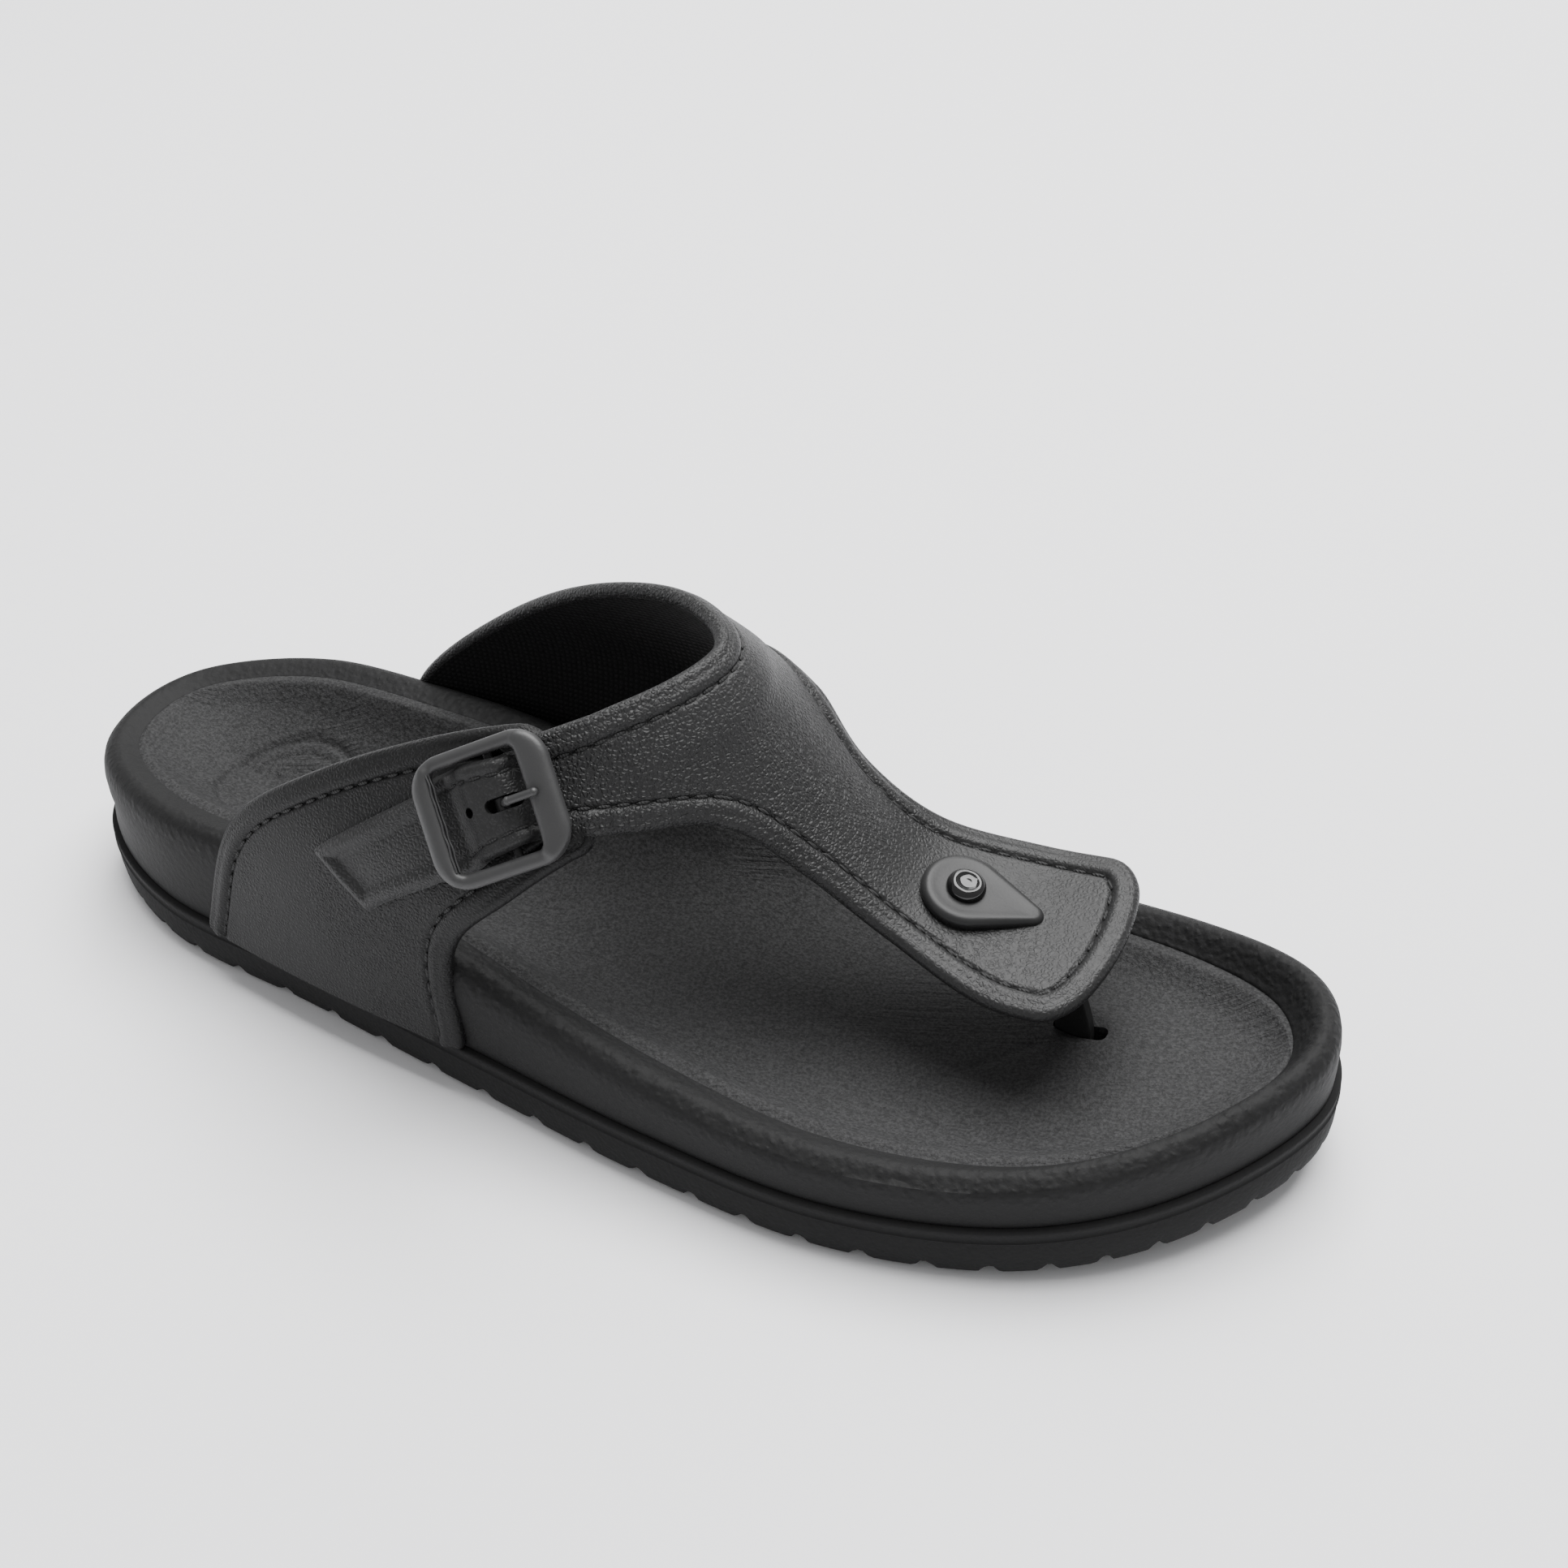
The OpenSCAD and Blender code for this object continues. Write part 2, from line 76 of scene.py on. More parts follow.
soft_lamp("top_lamp", (0.05, 0.55, 1.7), 1.5, 88)
soft_lamp("rear_lamp", (-0.5, 1.4, 1.1), 0.7, 7)
world = bpy.data.worlds.new("studio")
world.use_nodes = True
world.node_tree.nodes["Background"].inputs["Color"].default_value = (1, 1, 1, 1)
world.node_tree.nodes["Background"].inputs["Strength"].default_value = 0.62
bpy.context.scene.world = world


class Value:
    """A socket in a material. Arithmetic on it adds the Math nodes."""

    def __init__(self, finish, socket):
        self.finish = finish
        self.socket = socket

    def math(self, operation, *others):
        values = dict(enumerate((self, *others)))
        return self.finish.node("ShaderNodeMath", {"operation": operation}, values)

    def __add__(self, other):
        return self.math("ADD", other)

    def __sub__(self, other):
        return self.math("SUBTRACT", other)

    def __mul__(self, other):
        return self.math("MULTIPLY", other)

    def __rsub__(self, other):
        return self * -1 + other

    __radd__ = __add__
    __rmul__ = __mul__

    def between(self, low, high):
        """0 below low, 1 above high, and smooth from one to the other."""
        return self.finish.node("ShaderNodeMapRange", {"interpolation_type": "SMOOTHSTEP"},
                                {"Value": self, "From Min": low, "From Max": high})


class Finish:
    """One material, with a Principled shader."""

    def __init__(self, name, **constants):
        self.material = bpy.data.materials.new(name)
        self.material.use_nodes = True
        self.tree = self.material.node_tree
        self.shader = self.tree.nodes["Principled BSDF"]
        for socket, value in constants.items():
            self.shader.inputs[socket.replace("_", " ")].default_value = value

    def node(self, kind, settings, values, output=0):
        made = self.tree.nodes.new(kind)
        for key, value in settings.items():
            setattr(made, key, value)
        for key, value in values.items():
            if isinstance(value, Value):
                self.tree.links.new(value.socket, made.inputs[key])
            else:
                made.inputs[key].default_value = value
        return Value(self, made.outputs[output])

    def place(self, stretch=(1, 1, 1), turn=(0, 0, 0)):
        at = self.node("ShaderNodeTexCoord", {}, {}, "Object")
        return self.node("ShaderNodeMapping", {"vector_type": "TEXTURE"},
                         {"Vector": at, "Scale": stretch, "Rotation": turn})

    def attribute(self, name):
        return self.node("ShaderNodeAttribute", {"attribute_name": name}, {}, "Fac")

    def noise(self, at, scale, detail=2.0, roughness=0.5):
        return self.node("ShaderNodeTexNoise", {}, {"Vector": at, "Scale": scale, "Detail": detail,
                                                    "Roughness": roughness})

    def cells(self, at, scale, feature="F1", output="Distance"):
        return self.node("ShaderNodeTexVoronoi", {"feature": feature}, {"Vector": at, "Scale": scale}, output)

    def tones(self, amount, dark, light):
        """A grey between two tones."""
        return self.node("ShaderNodeMix", {"data_type": "RGBA"},
                         {0: amount, 6: (dark, dark, dark * 1.02, 1), 7: (light, light, light * 1.02, 1)}, 2)

    def end(self, colour, roughness, height, depth_mm):
        """Links the colour, the roughness and a bump of the given depth."""
        bump = self.node("ShaderNodeBump", {}, {"Height": height, "Distance": depth_mm * MM, "Strength": 1.0})
        self.tree.links.new(colour.socket, self.shader.inputs["Base Color"])
        self.tree.links.new(roughness.socket, self.shader.inputs["Roughness"])
        self.tree.links.new(bump.socket, self.shader.inputs["Normal"])
        return self.material


bpy.ops.object.select_all(action="DESELECT")
bpy.ops.mesh.primitive_plane_add(size=12, location=(0, 0, 0))
floor = bpy.context.object
floor.name = "floor"
paper = Finish("paper")
paper_grain = paper.noise(paper.place(), 300)
paper_tone = paper.tones(paper_grain, 0.86, 0.88)
floor.data.materials.append(paper.end(paper_tone, paper_grain * 0.1 + 0.75, paper_grain, 0.01))

# ---- Outsole ----
# The lowest layer: black moulded foam rubber with a ledge at its top, a thin parting line and notches all
# round its lower edge. Grooves cross its underside, and the toe end rises from the ground.
HALF = 135.0
OUTLINE = [(-135, 1), (-127, -19.5), (-100, -34), (-60, -38.5), (-17, -44), (23, -48.5), (60, -49),
           (96, -39), (121, -19), (135, 9), (126, 32), (99, 43.5), (60, 44.5), (20, 39), (-19, 31.5),
           (-60, 31.5), (-100, 32), (-127, 20)]
outsole_t = 12.0


def spline(a, b, c, d, t):
    return (b * 2 + (c - a) * t + (a * 2 - b * 5 + c * 4 - d) * t * t + (b * 3 - a - c * 3 + d) * t ** 3) * 0.5


def along(points, t):
    """The point where t of an open smooth curve's given points have been passed."""
    points = [p if isinstance(p, float) else Vector(p) for p in points]
    last = len(points) - 1
    t = min(max(t, 0.0), last - 1e-6)
    i = int(t)
    before = points[i - 1] if i > 0 else points[0] * 2 - points[1]
    after = points[i + 2] if i < last - 1 else points[last] * 2 - points[last - 1]
    return spline(before, points[i], points[i + 1], after, t - i)


def mix(a, b, t):
    return a + (b - a) * t


def smooth(low, high, value):
    t = min(max((value - low) / (high - low), 0.0), 1.0)
    return t * t * (3 - 2 * t)


def ground(x):
    return 6.0 * (max(x - 60, 0) / 75) ** 2 + 1.5 * (max(-105 - x, 0) / 30) ** 2


def sole_line(inset, count):
    """Points of the sole's outline moved inwards, from the heel by the outer side to the toe and back."""
    outline = [Vector(p) for p in OUTLINE]
    n = len(outline)
    line = []
    for k in range(count):
        i, t = divmod(k * n / count, 1)
        i = int(i)
        line.append(spline(outline[i - 1], outline[i], outline[(i + 1) % n], outline[(i + 2) % n], t))
    moved = []
    for k in range(count):
        step = (line[(k + 1) % count] - line[k - 1]).normalized()
        moved.append(line[k] + Vector((-step.y, step.x)) * inset)
    return moved


def deselect():
    bpy.ops.object.select_all(action="DESELECT")


CREASE = math.radians(50)


def stacked(name, rings, closed=(True, True)):
    """A ring of edges, extruded from each of the given rings to the next; the ends are filled on request."""
    deselect()
    bpy.ops.mesh.primitive_circle_add(vertices=len(rings[0]), radius=1)
    piece = bpy.context.object
    piece.name = piece.data.name = name
    bpy.ops.object.mode_set(mode="EDIT")
    shape = bmesh.from_edit_mesh(piece.data)
    order = shape.verts.layers.int.new("order")
    for v in shape.verts:
        v[order] = v.index
    if closed[0]:
        bpy.ops.mesh.edge_face_add()
        bpy.ops.mesh.select_all(action="SELECT")
        shape = bmesh.from_edit_mesh(piece.data)
        shape.faces.ensure_lookup_table()
    for k, ring in enumerate(rings):
        if k:
            bpy.ops.mesh.select_mode(type="EDGE")
            bpy.ops.mesh.extrude_edges_move()
        shape = bmesh.from_edit_mesh(piece.data)
        order = shape.verts.layers.int.get("order")
        for v in shape.verts:
            if v.select:
                v.co = Vector(ring[v[order]]) * MM
        if k == 0 and closed[0]:
            for f in shape.faces:
                f.select = False
            for e in shape.edges:
                e.select = True
        bmesh.update_edit_mesh(piece.data)
    if closed[1]:
        bpy.ops.mesh.edge_face_add()
    bpy.ops.mesh.select_all(action="SELECT")
    bpy.ops.mesh.normals_make_consistent(inside=False)
    bpy.ops.object.mode_set(mode="OBJECT")
    bpy.ops.object.shade_smooth_by_angle(angle=CREASE)
    return piece


def finished(piece, body, slot, material, *nodes):
    """Gives a piece its finish and says which body it rides on and which nodes it stands for."""
    piece.data.materials.clear()
    piece.data.materials.append(material)
    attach(piece, body)
    if nodes:
        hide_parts(*nodes)


def refinished(name, material):
    """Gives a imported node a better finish."""
    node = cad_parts[name]
    node.data.materials.clear()
    node.data.materials.append(material)


def foam(name, tone, grain_mm, depth_mm):
    """Moulded foam with a leathery grain of the given size."""
    finish = Finish(name, Specular_IOR_Level=0.16)
    at = finish.place()
    fine = finish.noise(at, 0.6 / (grain_mm * MM), 5, 0.62)
    pebble = finish.cells(at, 1 / (grain_mm * MM), "SMOOTH_F1")
    broad = finish.noise(at, 22, 3)
    height = fine * 0.75 + pebble * 0.5
    colour = finish.tones(fine.between(0.3, 0.7) * 0.5 + broad.between(0.3, 0.7) * 0.5, tone * 0.82, tone * 1.2)
    return finish.end(colour, broad * 0.14 + fine * 0.12 + 0.6, height, depth_mm)


outsole_ring = 720
notches = 58
notch_pitch = outsole_ring / notches


def tread_ring(inset, height, notch):
    points = []
    for k, p in enumerate(sole_line(inset, outsole_ring)):
        wave = abs(math.sin(math.pi * k / notch_pitch))
        dip = notch * smooth(0.55, 0.12, wave)
        points.append((p.x, p.y, ground(p.x) + height + dip))
    return points


def outsole_rings():
    low = [(9, 0, 0), (5, 0, 0), (3.4, 0.0, 0.8), (2.2, 0.25, 1.5), (1.4, 0.7, 1.7), (0.8, 1.5, 1.3),
           (0.45, 2.6, 0.7), (0.25, 4.0, 0.2)]
    wall = [(0.15, 5.5, 0), (0.25, 7.6, 0), (0.4, 8.5, 0), (0.4, 8.9, 0), (0.05, 9.1, 0), (-0.1, 9.3, 0),
            (0.05, 9.5, 0), (0.2, 9.7, 0), (0.1, 10.8, 0), (0.0, 11.5, 0), (0.1, 11.8, 0), (0.45, 12.0, 0),
            (3.4, 12.0, 0)]
    return [tread_ring(*row) for row in low + wall]


outsole_foam = foam("outsole_foam", 0.0095, 0.8, 0.16)
outsole = stacked("outsole_body", outsole_rings(), closed=(False, False))


def underside():
    """The tread's underside, with wavy grooves across it, inside the notched edge."""
    deselect()
    bpy.ops.mesh.primitive_grid_add(x_subdivisions=300, y_subdivisions=40, size=2)
    piece = bpy.context.object
    edge = sole_line(9, outsole_ring)
    half = outsole_ring // 2
    for v in piece.data.vertices:
        t = mix(1, half - 1, (v.co.x + 1) / 2)
        i = min(int(t), half - 2)
        a = mix(edge[i], edge[i + 1], t - i)
        b = mix(edge[-i], edge[-i - 1], t - i)
        share = (v.co.y + 1) / 2
        p = mix(b, a, share)
        wave = math.sin(2 * math.pi * (p.x + 2.5 * math.sin(p.y * 0.35)) / 11.2)
        inside = smooth(0, 0.06, min(share, 1 - share)) * smooth(0, 0.02, min(t, half - t) / half)
        groove = 1.5 * smooth(0.72, 0.95, wave) * inside
        v.co = Vector((p.x, p.y, ground(p.x) + groove)) * MM
    bpy.ops.object.mode_set(mode="EDIT")
    bpy.ops.mesh.select_all(action="SELECT")
    bpy.ops.mesh.normals_make_consistent(inside=False)
    bpy.ops.object.mode_set(mode="OBJECT")
    return piece


tread = underside()
tread.name = tread.data.name = "outsole_tread"
finished(outsole, "sandal", "outsole_rubber", outsole_foam, "outsole")
finished(tread, "sandal", "outsole_rubber", outsole_foam, "outsole")

# ---- Midsole ----
# The foam body of the sole: a slightly bulging wall that ends in a raised round rim, which runs all round
# the footbed. It is moulded in one with a leathery grain and glued on the outsole's ledge.
RIM_Z = [31.0, 35.0, 36.0, 28.5, 23.0, 23.5, 32.0]
EDGE_Z = [28.5, 33.0, 34.0, 26.0, 20.5, 19.5, 24.0]
CENTRE_Z = [26.0, 19.0, 19.0, 18.5, 15.5, 16.0, 21.0]
BOWL = [2.0, 2.0, 2.4, 3.0, 5.0, 6.0, 6.0]
tray_in = 9.3
WALL_RING = 480


def height_at(heights, x):
    return along(heights, (x / HALF + 1) * 3)


def wall_ring(inset, share, drop=0.0):
    """A ring of the wall at a share of the way from the ledge to the rim's top, with a waist at the heel."""
    ring = []
    for p, deeper in zip(sole_line(inset, WALL_RING), sole_line(inset + 1.3, WALL_RING)):
        waist = smooth(-112, -132, p.x) * math.exp(-((share - 0.42) / 0.16) ** 2)
        p = mix(p, deeper, waist)
        ring.append((p.x, p.y, mix(ground(p.x) + outsole_t, height_at(RIM_Z, p.x), share) - drop))
    return ring


def rim_ring(inset, rise):
    """A ring of the rim's inner slope, which ends level with the footbed's edge."""
    down = smooth(4.7, 10.2, inset)
    return [(p.x, p.y, mix(height_at(RIM_Z, p.x), height_at(EDGE_Z, p.x) + 0.6, down) + rise)
            for p in sole_line(inset, WALL_RING)]


lower_wall = [wall_ring(3.0, 0.0, 0.5), wall_ring(1.5, 0.0, 0.1), wall_ring(1.3, 0.02), wall_ring(1.25, 0.10),
              wall_ring(1.15, 0.25), wall_ring(1.1, 0.45), wall_ring(1.05, 0.6), wall_ring(1.2, 0.72)]
upper_wall = [wall_ring(1.5, 0.82), wall_ring(2.1, 1.0, 1.6), wall_ring(2.8, 1.0, 0.85), wall_ring(3.7, 1.0, 0.3),
              wall_ring(4.7, 1.0, 0.0)]
inner_slope = [rim_ring(inset, 0.0) for inset in (5.6, 6.4, 7.2, 8.0, 8.6, 9.1)]
midsole = stacked("midsole_body", lower_wall + upper_wall + inner_slope + [
    rim_ring(9.35, -0.08), rim_ring(9.45, -0.3), rim_ring(9.55, -1.5)], closed=(False, False))
shoulder = midsole.data.attributes.new("shoulder", "FLOAT", "POINT")
for v in midsole.data.vertices:
    p = v.co / MM
    below = height_at(RIM_Z, p.x) - p.z
    shoulder.data[v.index].value = smooth(8, 2.5, below) * (1 - 0.55 * smooth(-60, -110, p.x))
skin = Finish("midsole_foam", Specular_IOR_Level=0.15)
skin_at = skin.place()
skin_bent = skin.node("ShaderNodeVectorMath", {"operation": "MULTIPLY_ADD"},
                      {0: skin.node("ShaderNodeTexNoise", {}, {"Vector": skin_at, "Scale": 420, "Detail": 2}, "Color"),
                       1: (0.0012, 0.0012, 0.0012), 2: skin_at})
skin_pebble = skin.cells(skin_bent, 720, "SMOOTH_F1")
skin_fine = skin.noise(skin_at, 1700, 4, 0.6)
skin_broad = skin.noise(skin_at, 22, 3)
skin_share = skin.attribute("shoulder") * 0.8 + 0.22
skin_height = (1 - skin_pebble) * skin_share * 1.0 + skin_fine * 0.22
finished(midsole, "sandal", "moulded_foam",
         skin.end(skin.tones(skin_fine.between(0.3, 0.7) * 0.4 + skin_broad.between(0.3, 0.7) * 0.6, 0.0075, 0.0125),
                  skin_broad * 0.12 + skin_fine * 0.15 + 0.5, skin_height, 0.35), "midsole")

# ---- Footbed ----
# The contoured insole laid inside the rim: hollowed for the heel and raised at the arch and the edges. It has
# a suede-like speckle, fine creases, a slot for the toe post and, pressed into its heel, a plain round mark of
# rings and dots.
post_at = Vector((85.0, 10.2))
mark_at = Vector((-90.0, -2.5))
mark_r = 14.5


def bed_height(x, share):
    return (mix(height_at(CENTRE_Z, x), height_at(EDGE_Z, x), share ** height_at(BOWL, x))
            + 0.8 * smooth(0.8, 1.0, share))


def pressed_mark(p):
    """How deep the heel mark is pressed at a point."""
    r = (p - mark_at).length
    ring = math.exp(-((r - mark_r) / 0.8) ** 2) * 0.75 + math.exp(-((r - mark_r + 3.2) / 0.45) ** 2) * 0.3
    angle = math.atan2(p.y - mark_at.y, p.x - mark_at.x)
    dots = max(math.cos(angle * 12), 0) ** 3 * math.exp(-((r - 7.6) / 0.9) ** 2) * 0.45
    return ring + dots + 0.12 * smooth(mark_r + 0.5, mark_r - 0.5, r)


def puckered(p):
    """The low swelling round the toe post's slot and the shallow line that runs from it towards the heel."""
    r = Vector(((p.x - 86.0) / 1.6, p.y - 10.2)).length
    way = Vector((-0.62, -0.78))
    off = p - Vector((84.0, 8.0))
    run, aside = off.dot(way), off.x * -way.y + off.y * way.x
    line = math.exp(-(aside / 0.9) ** 2) * smooth(2, 8, run) * smooth(46, 30, run)
    return 0.7 * math.exp(-((r - 5.0) / 3.0) ** 2) - 0.9 * math.exp(-(r / 2.6) ** 2) - 0.35 * line


def nearest_of(points):
    """A search tree over points."""
    tree = KDTree(len(points))
    for i, p in enumerate(points):
        tree.insert(p, i)
    tree.balance()
    return tree


def bed_point(x_share, y_share, edge, edge_tree):
    half = len(edge) // 2
    t = mix(1, half - 1, x_share)
    i = min(int(t), half - 2)
    outer = mix(edge[i], edge[i + 1], t - i)
    inner = mix(edge[-i], edge[-i - 1], t - i)
    p = mix(outer, inner, y_share)
    off = edge_tree.find(p.to_3d())[2]
    share = min((abs(2 * y_share - 1) ** 8 + max(1 - off / 34, 0) ** 8) ** 0.125, 1)
    lip = 0.15 * smooth(0.8, 0.0, off) + 0.35 * smooth(-75, -30, p.x) * math.exp(-((off - 0.6) / 0.5) ** 2)
    return Vector((p.x, p.y, bed_height(p.x, share) + puckered(p) - pressed_mark(p) - lip))


deselect()
bpy.ops.mesh.primitive_grid_add(x_subdivisions=420, y_subdivisions=110, size=2)
footbed = bpy.context.object
footbed.name = footbed.data.name = "footbed_layer"
BED_EDGE_POINTS = 1440
bed_edge = sole_line(tray_in - 0.1, BED_EDGE_POINTS)
bed_edge_tree = nearest_of([p.to_3d() for p in bed_edge])
for v in footbed.data.vertices:
    v.co = bed_point((v.co.x + 1) / 2, (v.co.y + 1) / 2, bed_edge, bed_edge_tree) * MM
bpy.ops.object.mode_set(mode="EDIT")
bpy.ops.mesh.select_all(action="SELECT")
bpy.ops.mesh.extrude_region_move(TRANSFORM_OT_translate={"value": (0, 0, -5 * MM)})
bpy.ops.mesh.select_all(action="SELECT")
bpy.ops.mesh.normals_make_consistent(inside=False)
bpy.ops.object.mode_set(mode="OBJECT")
bpy.ops.object.shade_smooth_by_angle(angle=CREASE)


def cut(piece, cutter):
    """Takes the cutter's volume out of a piece."""
    bpy.context.view_layer.objects.active = piece
    change = piece.modifiers.new("cut", "BOOLEAN")
    change.object = cutter
    change.operation = "DIFFERENCE"
    change.solver = "EXACT"
    bpy.ops.object.modifier_apply(modifier="cut")
    bpy.data.objects.remove(cutter)


deselect()
bpy.ops.mesh.primitive_cube_add(size=1, location=Vector((86.1, 10.2, 15)) * MM, scale=Vector((10.6, 3.8, 30)) * MM)
slot_cutter = bpy.context.object
bpy.ops.object.mode_set(mode="EDIT")
bpy.ops.mesh.select_all(action="SELECT")
bpy.ops.mesh.bevel(offset=1.4 * MM, segments=4, affect="EDGES")
bpy.ops.object.mode_set(mode="OBJECT")
cut(footbed, slot_cutter)

suede = Finish("footbed_suede", Specular_IOR_Level=0.18)
bed_at = suede.place()
speckle = suede.noise(bed_at, 1500, 3, 0.75)
nap = suede.noise(bed_at, 900, 4, 0.6)
spark = suede.noise(bed_at, 2400, 1).between(0.72, 0.8)
crease = suede.noise(suede.place((0.014, 0.0011, 0.01), (0, 0, math.radians(22))), 1.0, 3, 0.55)
crease_zone = suede.noise(bed_at, 30, 1).between(0.54, 0.66)
worn = suede.noise(bed_at, 16, 3)
bed_tone = speckle.between(0.35, 0.68) * 0.6 + nap.between(0.3, 0.7) * 0.2 + worn.between(0.3, 0.7) * 0.2
bed_height_map = speckle * 0.6 + nap * 0.5 + crease.between(0.35, 0.65) * crease_zone * 0.35
finished(footbed, "sandal", "footbed_foam",
         suede.end(suede.tones(bed_tone + spark * 2.0, 0.007, 0.042), nap * 0.2 + 0.6, bed_height_map, 0.5),
         "footbed")

# ---- Strap surface ----
# The curves that the upper is cut along: its rear edge over the foot, the front edge on each side, which
# runs on as an edge of the tongue, and the middle of the tongue. The strap and the side panel share them.
REAR = [(-85, -37.8, 12.5), (-75.5, -35.5, 40.5), (-55, -33.5, 58), (-25.5, -29, 73.5), (3, -19, 81.5), (16, 4, 86),
        (-1, 20, 84), (-28, 27, 74), (-54, 32, 56), (-76, 31.5, 34), (-79, 33, 12.5)]
NECK = [(24.5, -14.5, 63.5), (31, 6, 66.5), (23, 25, 67)]
FRONT_OUT = [(-20, -44.6, 12.5), (-20.8, -42.7, 35.8), (-8.5, -40, 51.5), (7.3, -29.2, 63), (24.5, -14.5, 63.5),
             (38, -8.5, 53.5), (55, -7, 43), (74, -10, 37.5), (88, -9, 37)]
FRONT_IN = [(88, 28, 43.5), (70.5, 27, 42), (51, 22, 46), (35.5, 21, 56), (23, 25, 67), (6, 34, 65),
            (-12, 38, 53), (-26, 35, 36), (-28, 33.5, 12.5)]
MIDDLE = [(31, 6, 66.5), (40, 6.5, 56), (54, 7.5, 44.8), (73, 8.5, 40), (91.5, 9.8, 40.3)]
strap_t = 2.2
lining_t = 0.8


def front_edge(u):
    """The band's front edge; u is 0 at the outer side's ledge and 10 at the inner side's."""
    if u < 4:
        return along(FRONT_OUT, u)
    if u > 6:
        return along(FRONT_IN, u - 2)
    return along(FRONT_OUT[3:4] + NECK + FRONT_IN[5:6], u - 3)


def lifted(u, v, h=0.0):
    """A point of the band at a height over its surface; v is 0 at the rear edge and 1 at the front edge."""
    e = 0.02
    step = mix(along(REAR, u + e), front_edge(u + e), v) - mix(along(REAR, u - e), front_edge(u - e), v)
    normal = (front_edge(u) - along(REAR, u)).cross(step).normalized()
    return mix(along(REAR, u), front_edge(u), v) + normal * (h + 4.8 * v * (1 - v))


def tab_end(w):
    return 4 - 0.16 * abs(w) ** 9


def tongue(s, w):
    """A point of the tongue; s is 0 at the neck and 4 at the tab, w is -1 and 1 at the outer and inner edge."""
    if s < 1e-6:
        return front_edge(5 + w)
    outer, middle, inner = along(FRONT_OUT, 4 + s), along(MIDDLE, s), along(FRONT_IN, 4 - s)
    return outer * (w * (w - 1) / 2) + middle * (1 - w * w) + inner * (w * (w + 1) / 2)


def patch_end(v):
    """Where the side panel ends in front of the buckle."""
    return mix(3.62, 2.99, v) - 0.1 * abs(2 * v - 1) ** 8


def panel(name, across, lengthwise, place):
    """A sheet of squares with each point placed by its two shares."""
    deselect()
    bpy.ops.mesh.primitive_grid_add(x_subdivisions=across, y_subdivisions=lengthwise, size=2)
    piece = bpy.context.object
    piece.name = piece.data.name = name
    for v in piece.data.vertices:
        v.co = place(min(max((v.co.x + 1) / 2, 0), 1), min(max((v.co.y + 1) / 2, 0), 1)) * MM
    return piece


def refined(piece, levels):
    bpy.context.view_layer.objects.active = piece
    change = piece.modifiers.new("refine", "SUBSURF")
    change.levels = change.render_levels = levels
    bpy.ops.object.modifier_apply(modifier="refine")


def thickened(piece, thickness_mm, offset=-1.0):
    bpy.context.view_layer.objects.active = piece
    change = piece.modifiers.new("thickness", "SOLIDIFY")
    change.thickness = thickness_mm * MM
    change.offset = offset
    change.use_even_offset = False
    bpy.ops.object.modifier_apply(modifier="thickness")
    bpy.ops.object.shade_smooth_by_angle(angle=CREASE)


def edge_points(piece, skip):
    """The points on a sheet's open edge, without those that skip() leaves out."""
    shape = bmesh.new()
    shape.from_mesh(piece.data)
    points = [v.co.copy() for v in shape.verts if v.is_boundary and not skip(v.co / MM)]
    shape.free()
    return points


def rolled(piece, points, roll=0.5, groove=0.65, reach=3.6, edge=0.25, lobe=None):
    """Raises a round roll along the sheet's edge, with a groove for the stitches inside it."""
    tree = nearest_of(points)
    mesh = piece.data
    normals = [v.normal.copy() for v in mesh.vertices]
    for v, normal in zip(mesh.vertices, normals):
        d = tree.find(v.co)[2] / MM
        bead = max(roll * math.exp(-((d - reach * 0.5) / (reach * 0.38)) ** 2), edge * smooth(1.6, 0.4, d))
        dent = groove * math.exp(-((d - reach) / 0.4) ** 2)
        if lobe:
            bead += lobe(v.co / MM) * smooth(6.5, 3.0, d)
        v.co += normal * (bead - dent) * MM


# ---- Strap ----
# The band over the instep and its tongue are one skin of black synthetic leather with a pebbled grain. Its
# edge is turned into a roll with a stitched groove beside it, and the inner end goes down outside the sole.
out_rows, neck_rows, in_rows = 10, 12, 26
total_rows = out_rows + neck_rows + in_rows


def band_start(a, u):
    """A point of the band near its outer end, where it is narrower and lies on the side panel's front end."""
    narrow = max(1 - 9 * (u - patch_end(a)) / (10 - patch_end(a)), 0) ** 2 if u > patch_end(a) else 1
    return lifted(u, mix(0.09 * narrow, 1 - 0.13 * narrow, a), 1.2 * narrow)


def band_place(a, b):
    row = b * total_rows
    if row < out_rows:
        return band_start(a, mix(patch_end(a) - 0.22, 4, row / out_rows))
    if row < out_rows + neck_rows:
        return lifted(4 + 2 * (row - out_rows) / neck_rows, a)
    return lifted(6 + 4 * (row - out_rows - neck_rows) / in_rows, a)


def tongue_place(a, b):
    w = 2 * b - 1
    return tongue(a * tab_end(w), w)


def joined(piece, other):
    deselect()
    piece.select_set(True)
    other.select_set(True)
    bpy.context.view_layer.objects.active = piece
    bpy.ops.object.join()


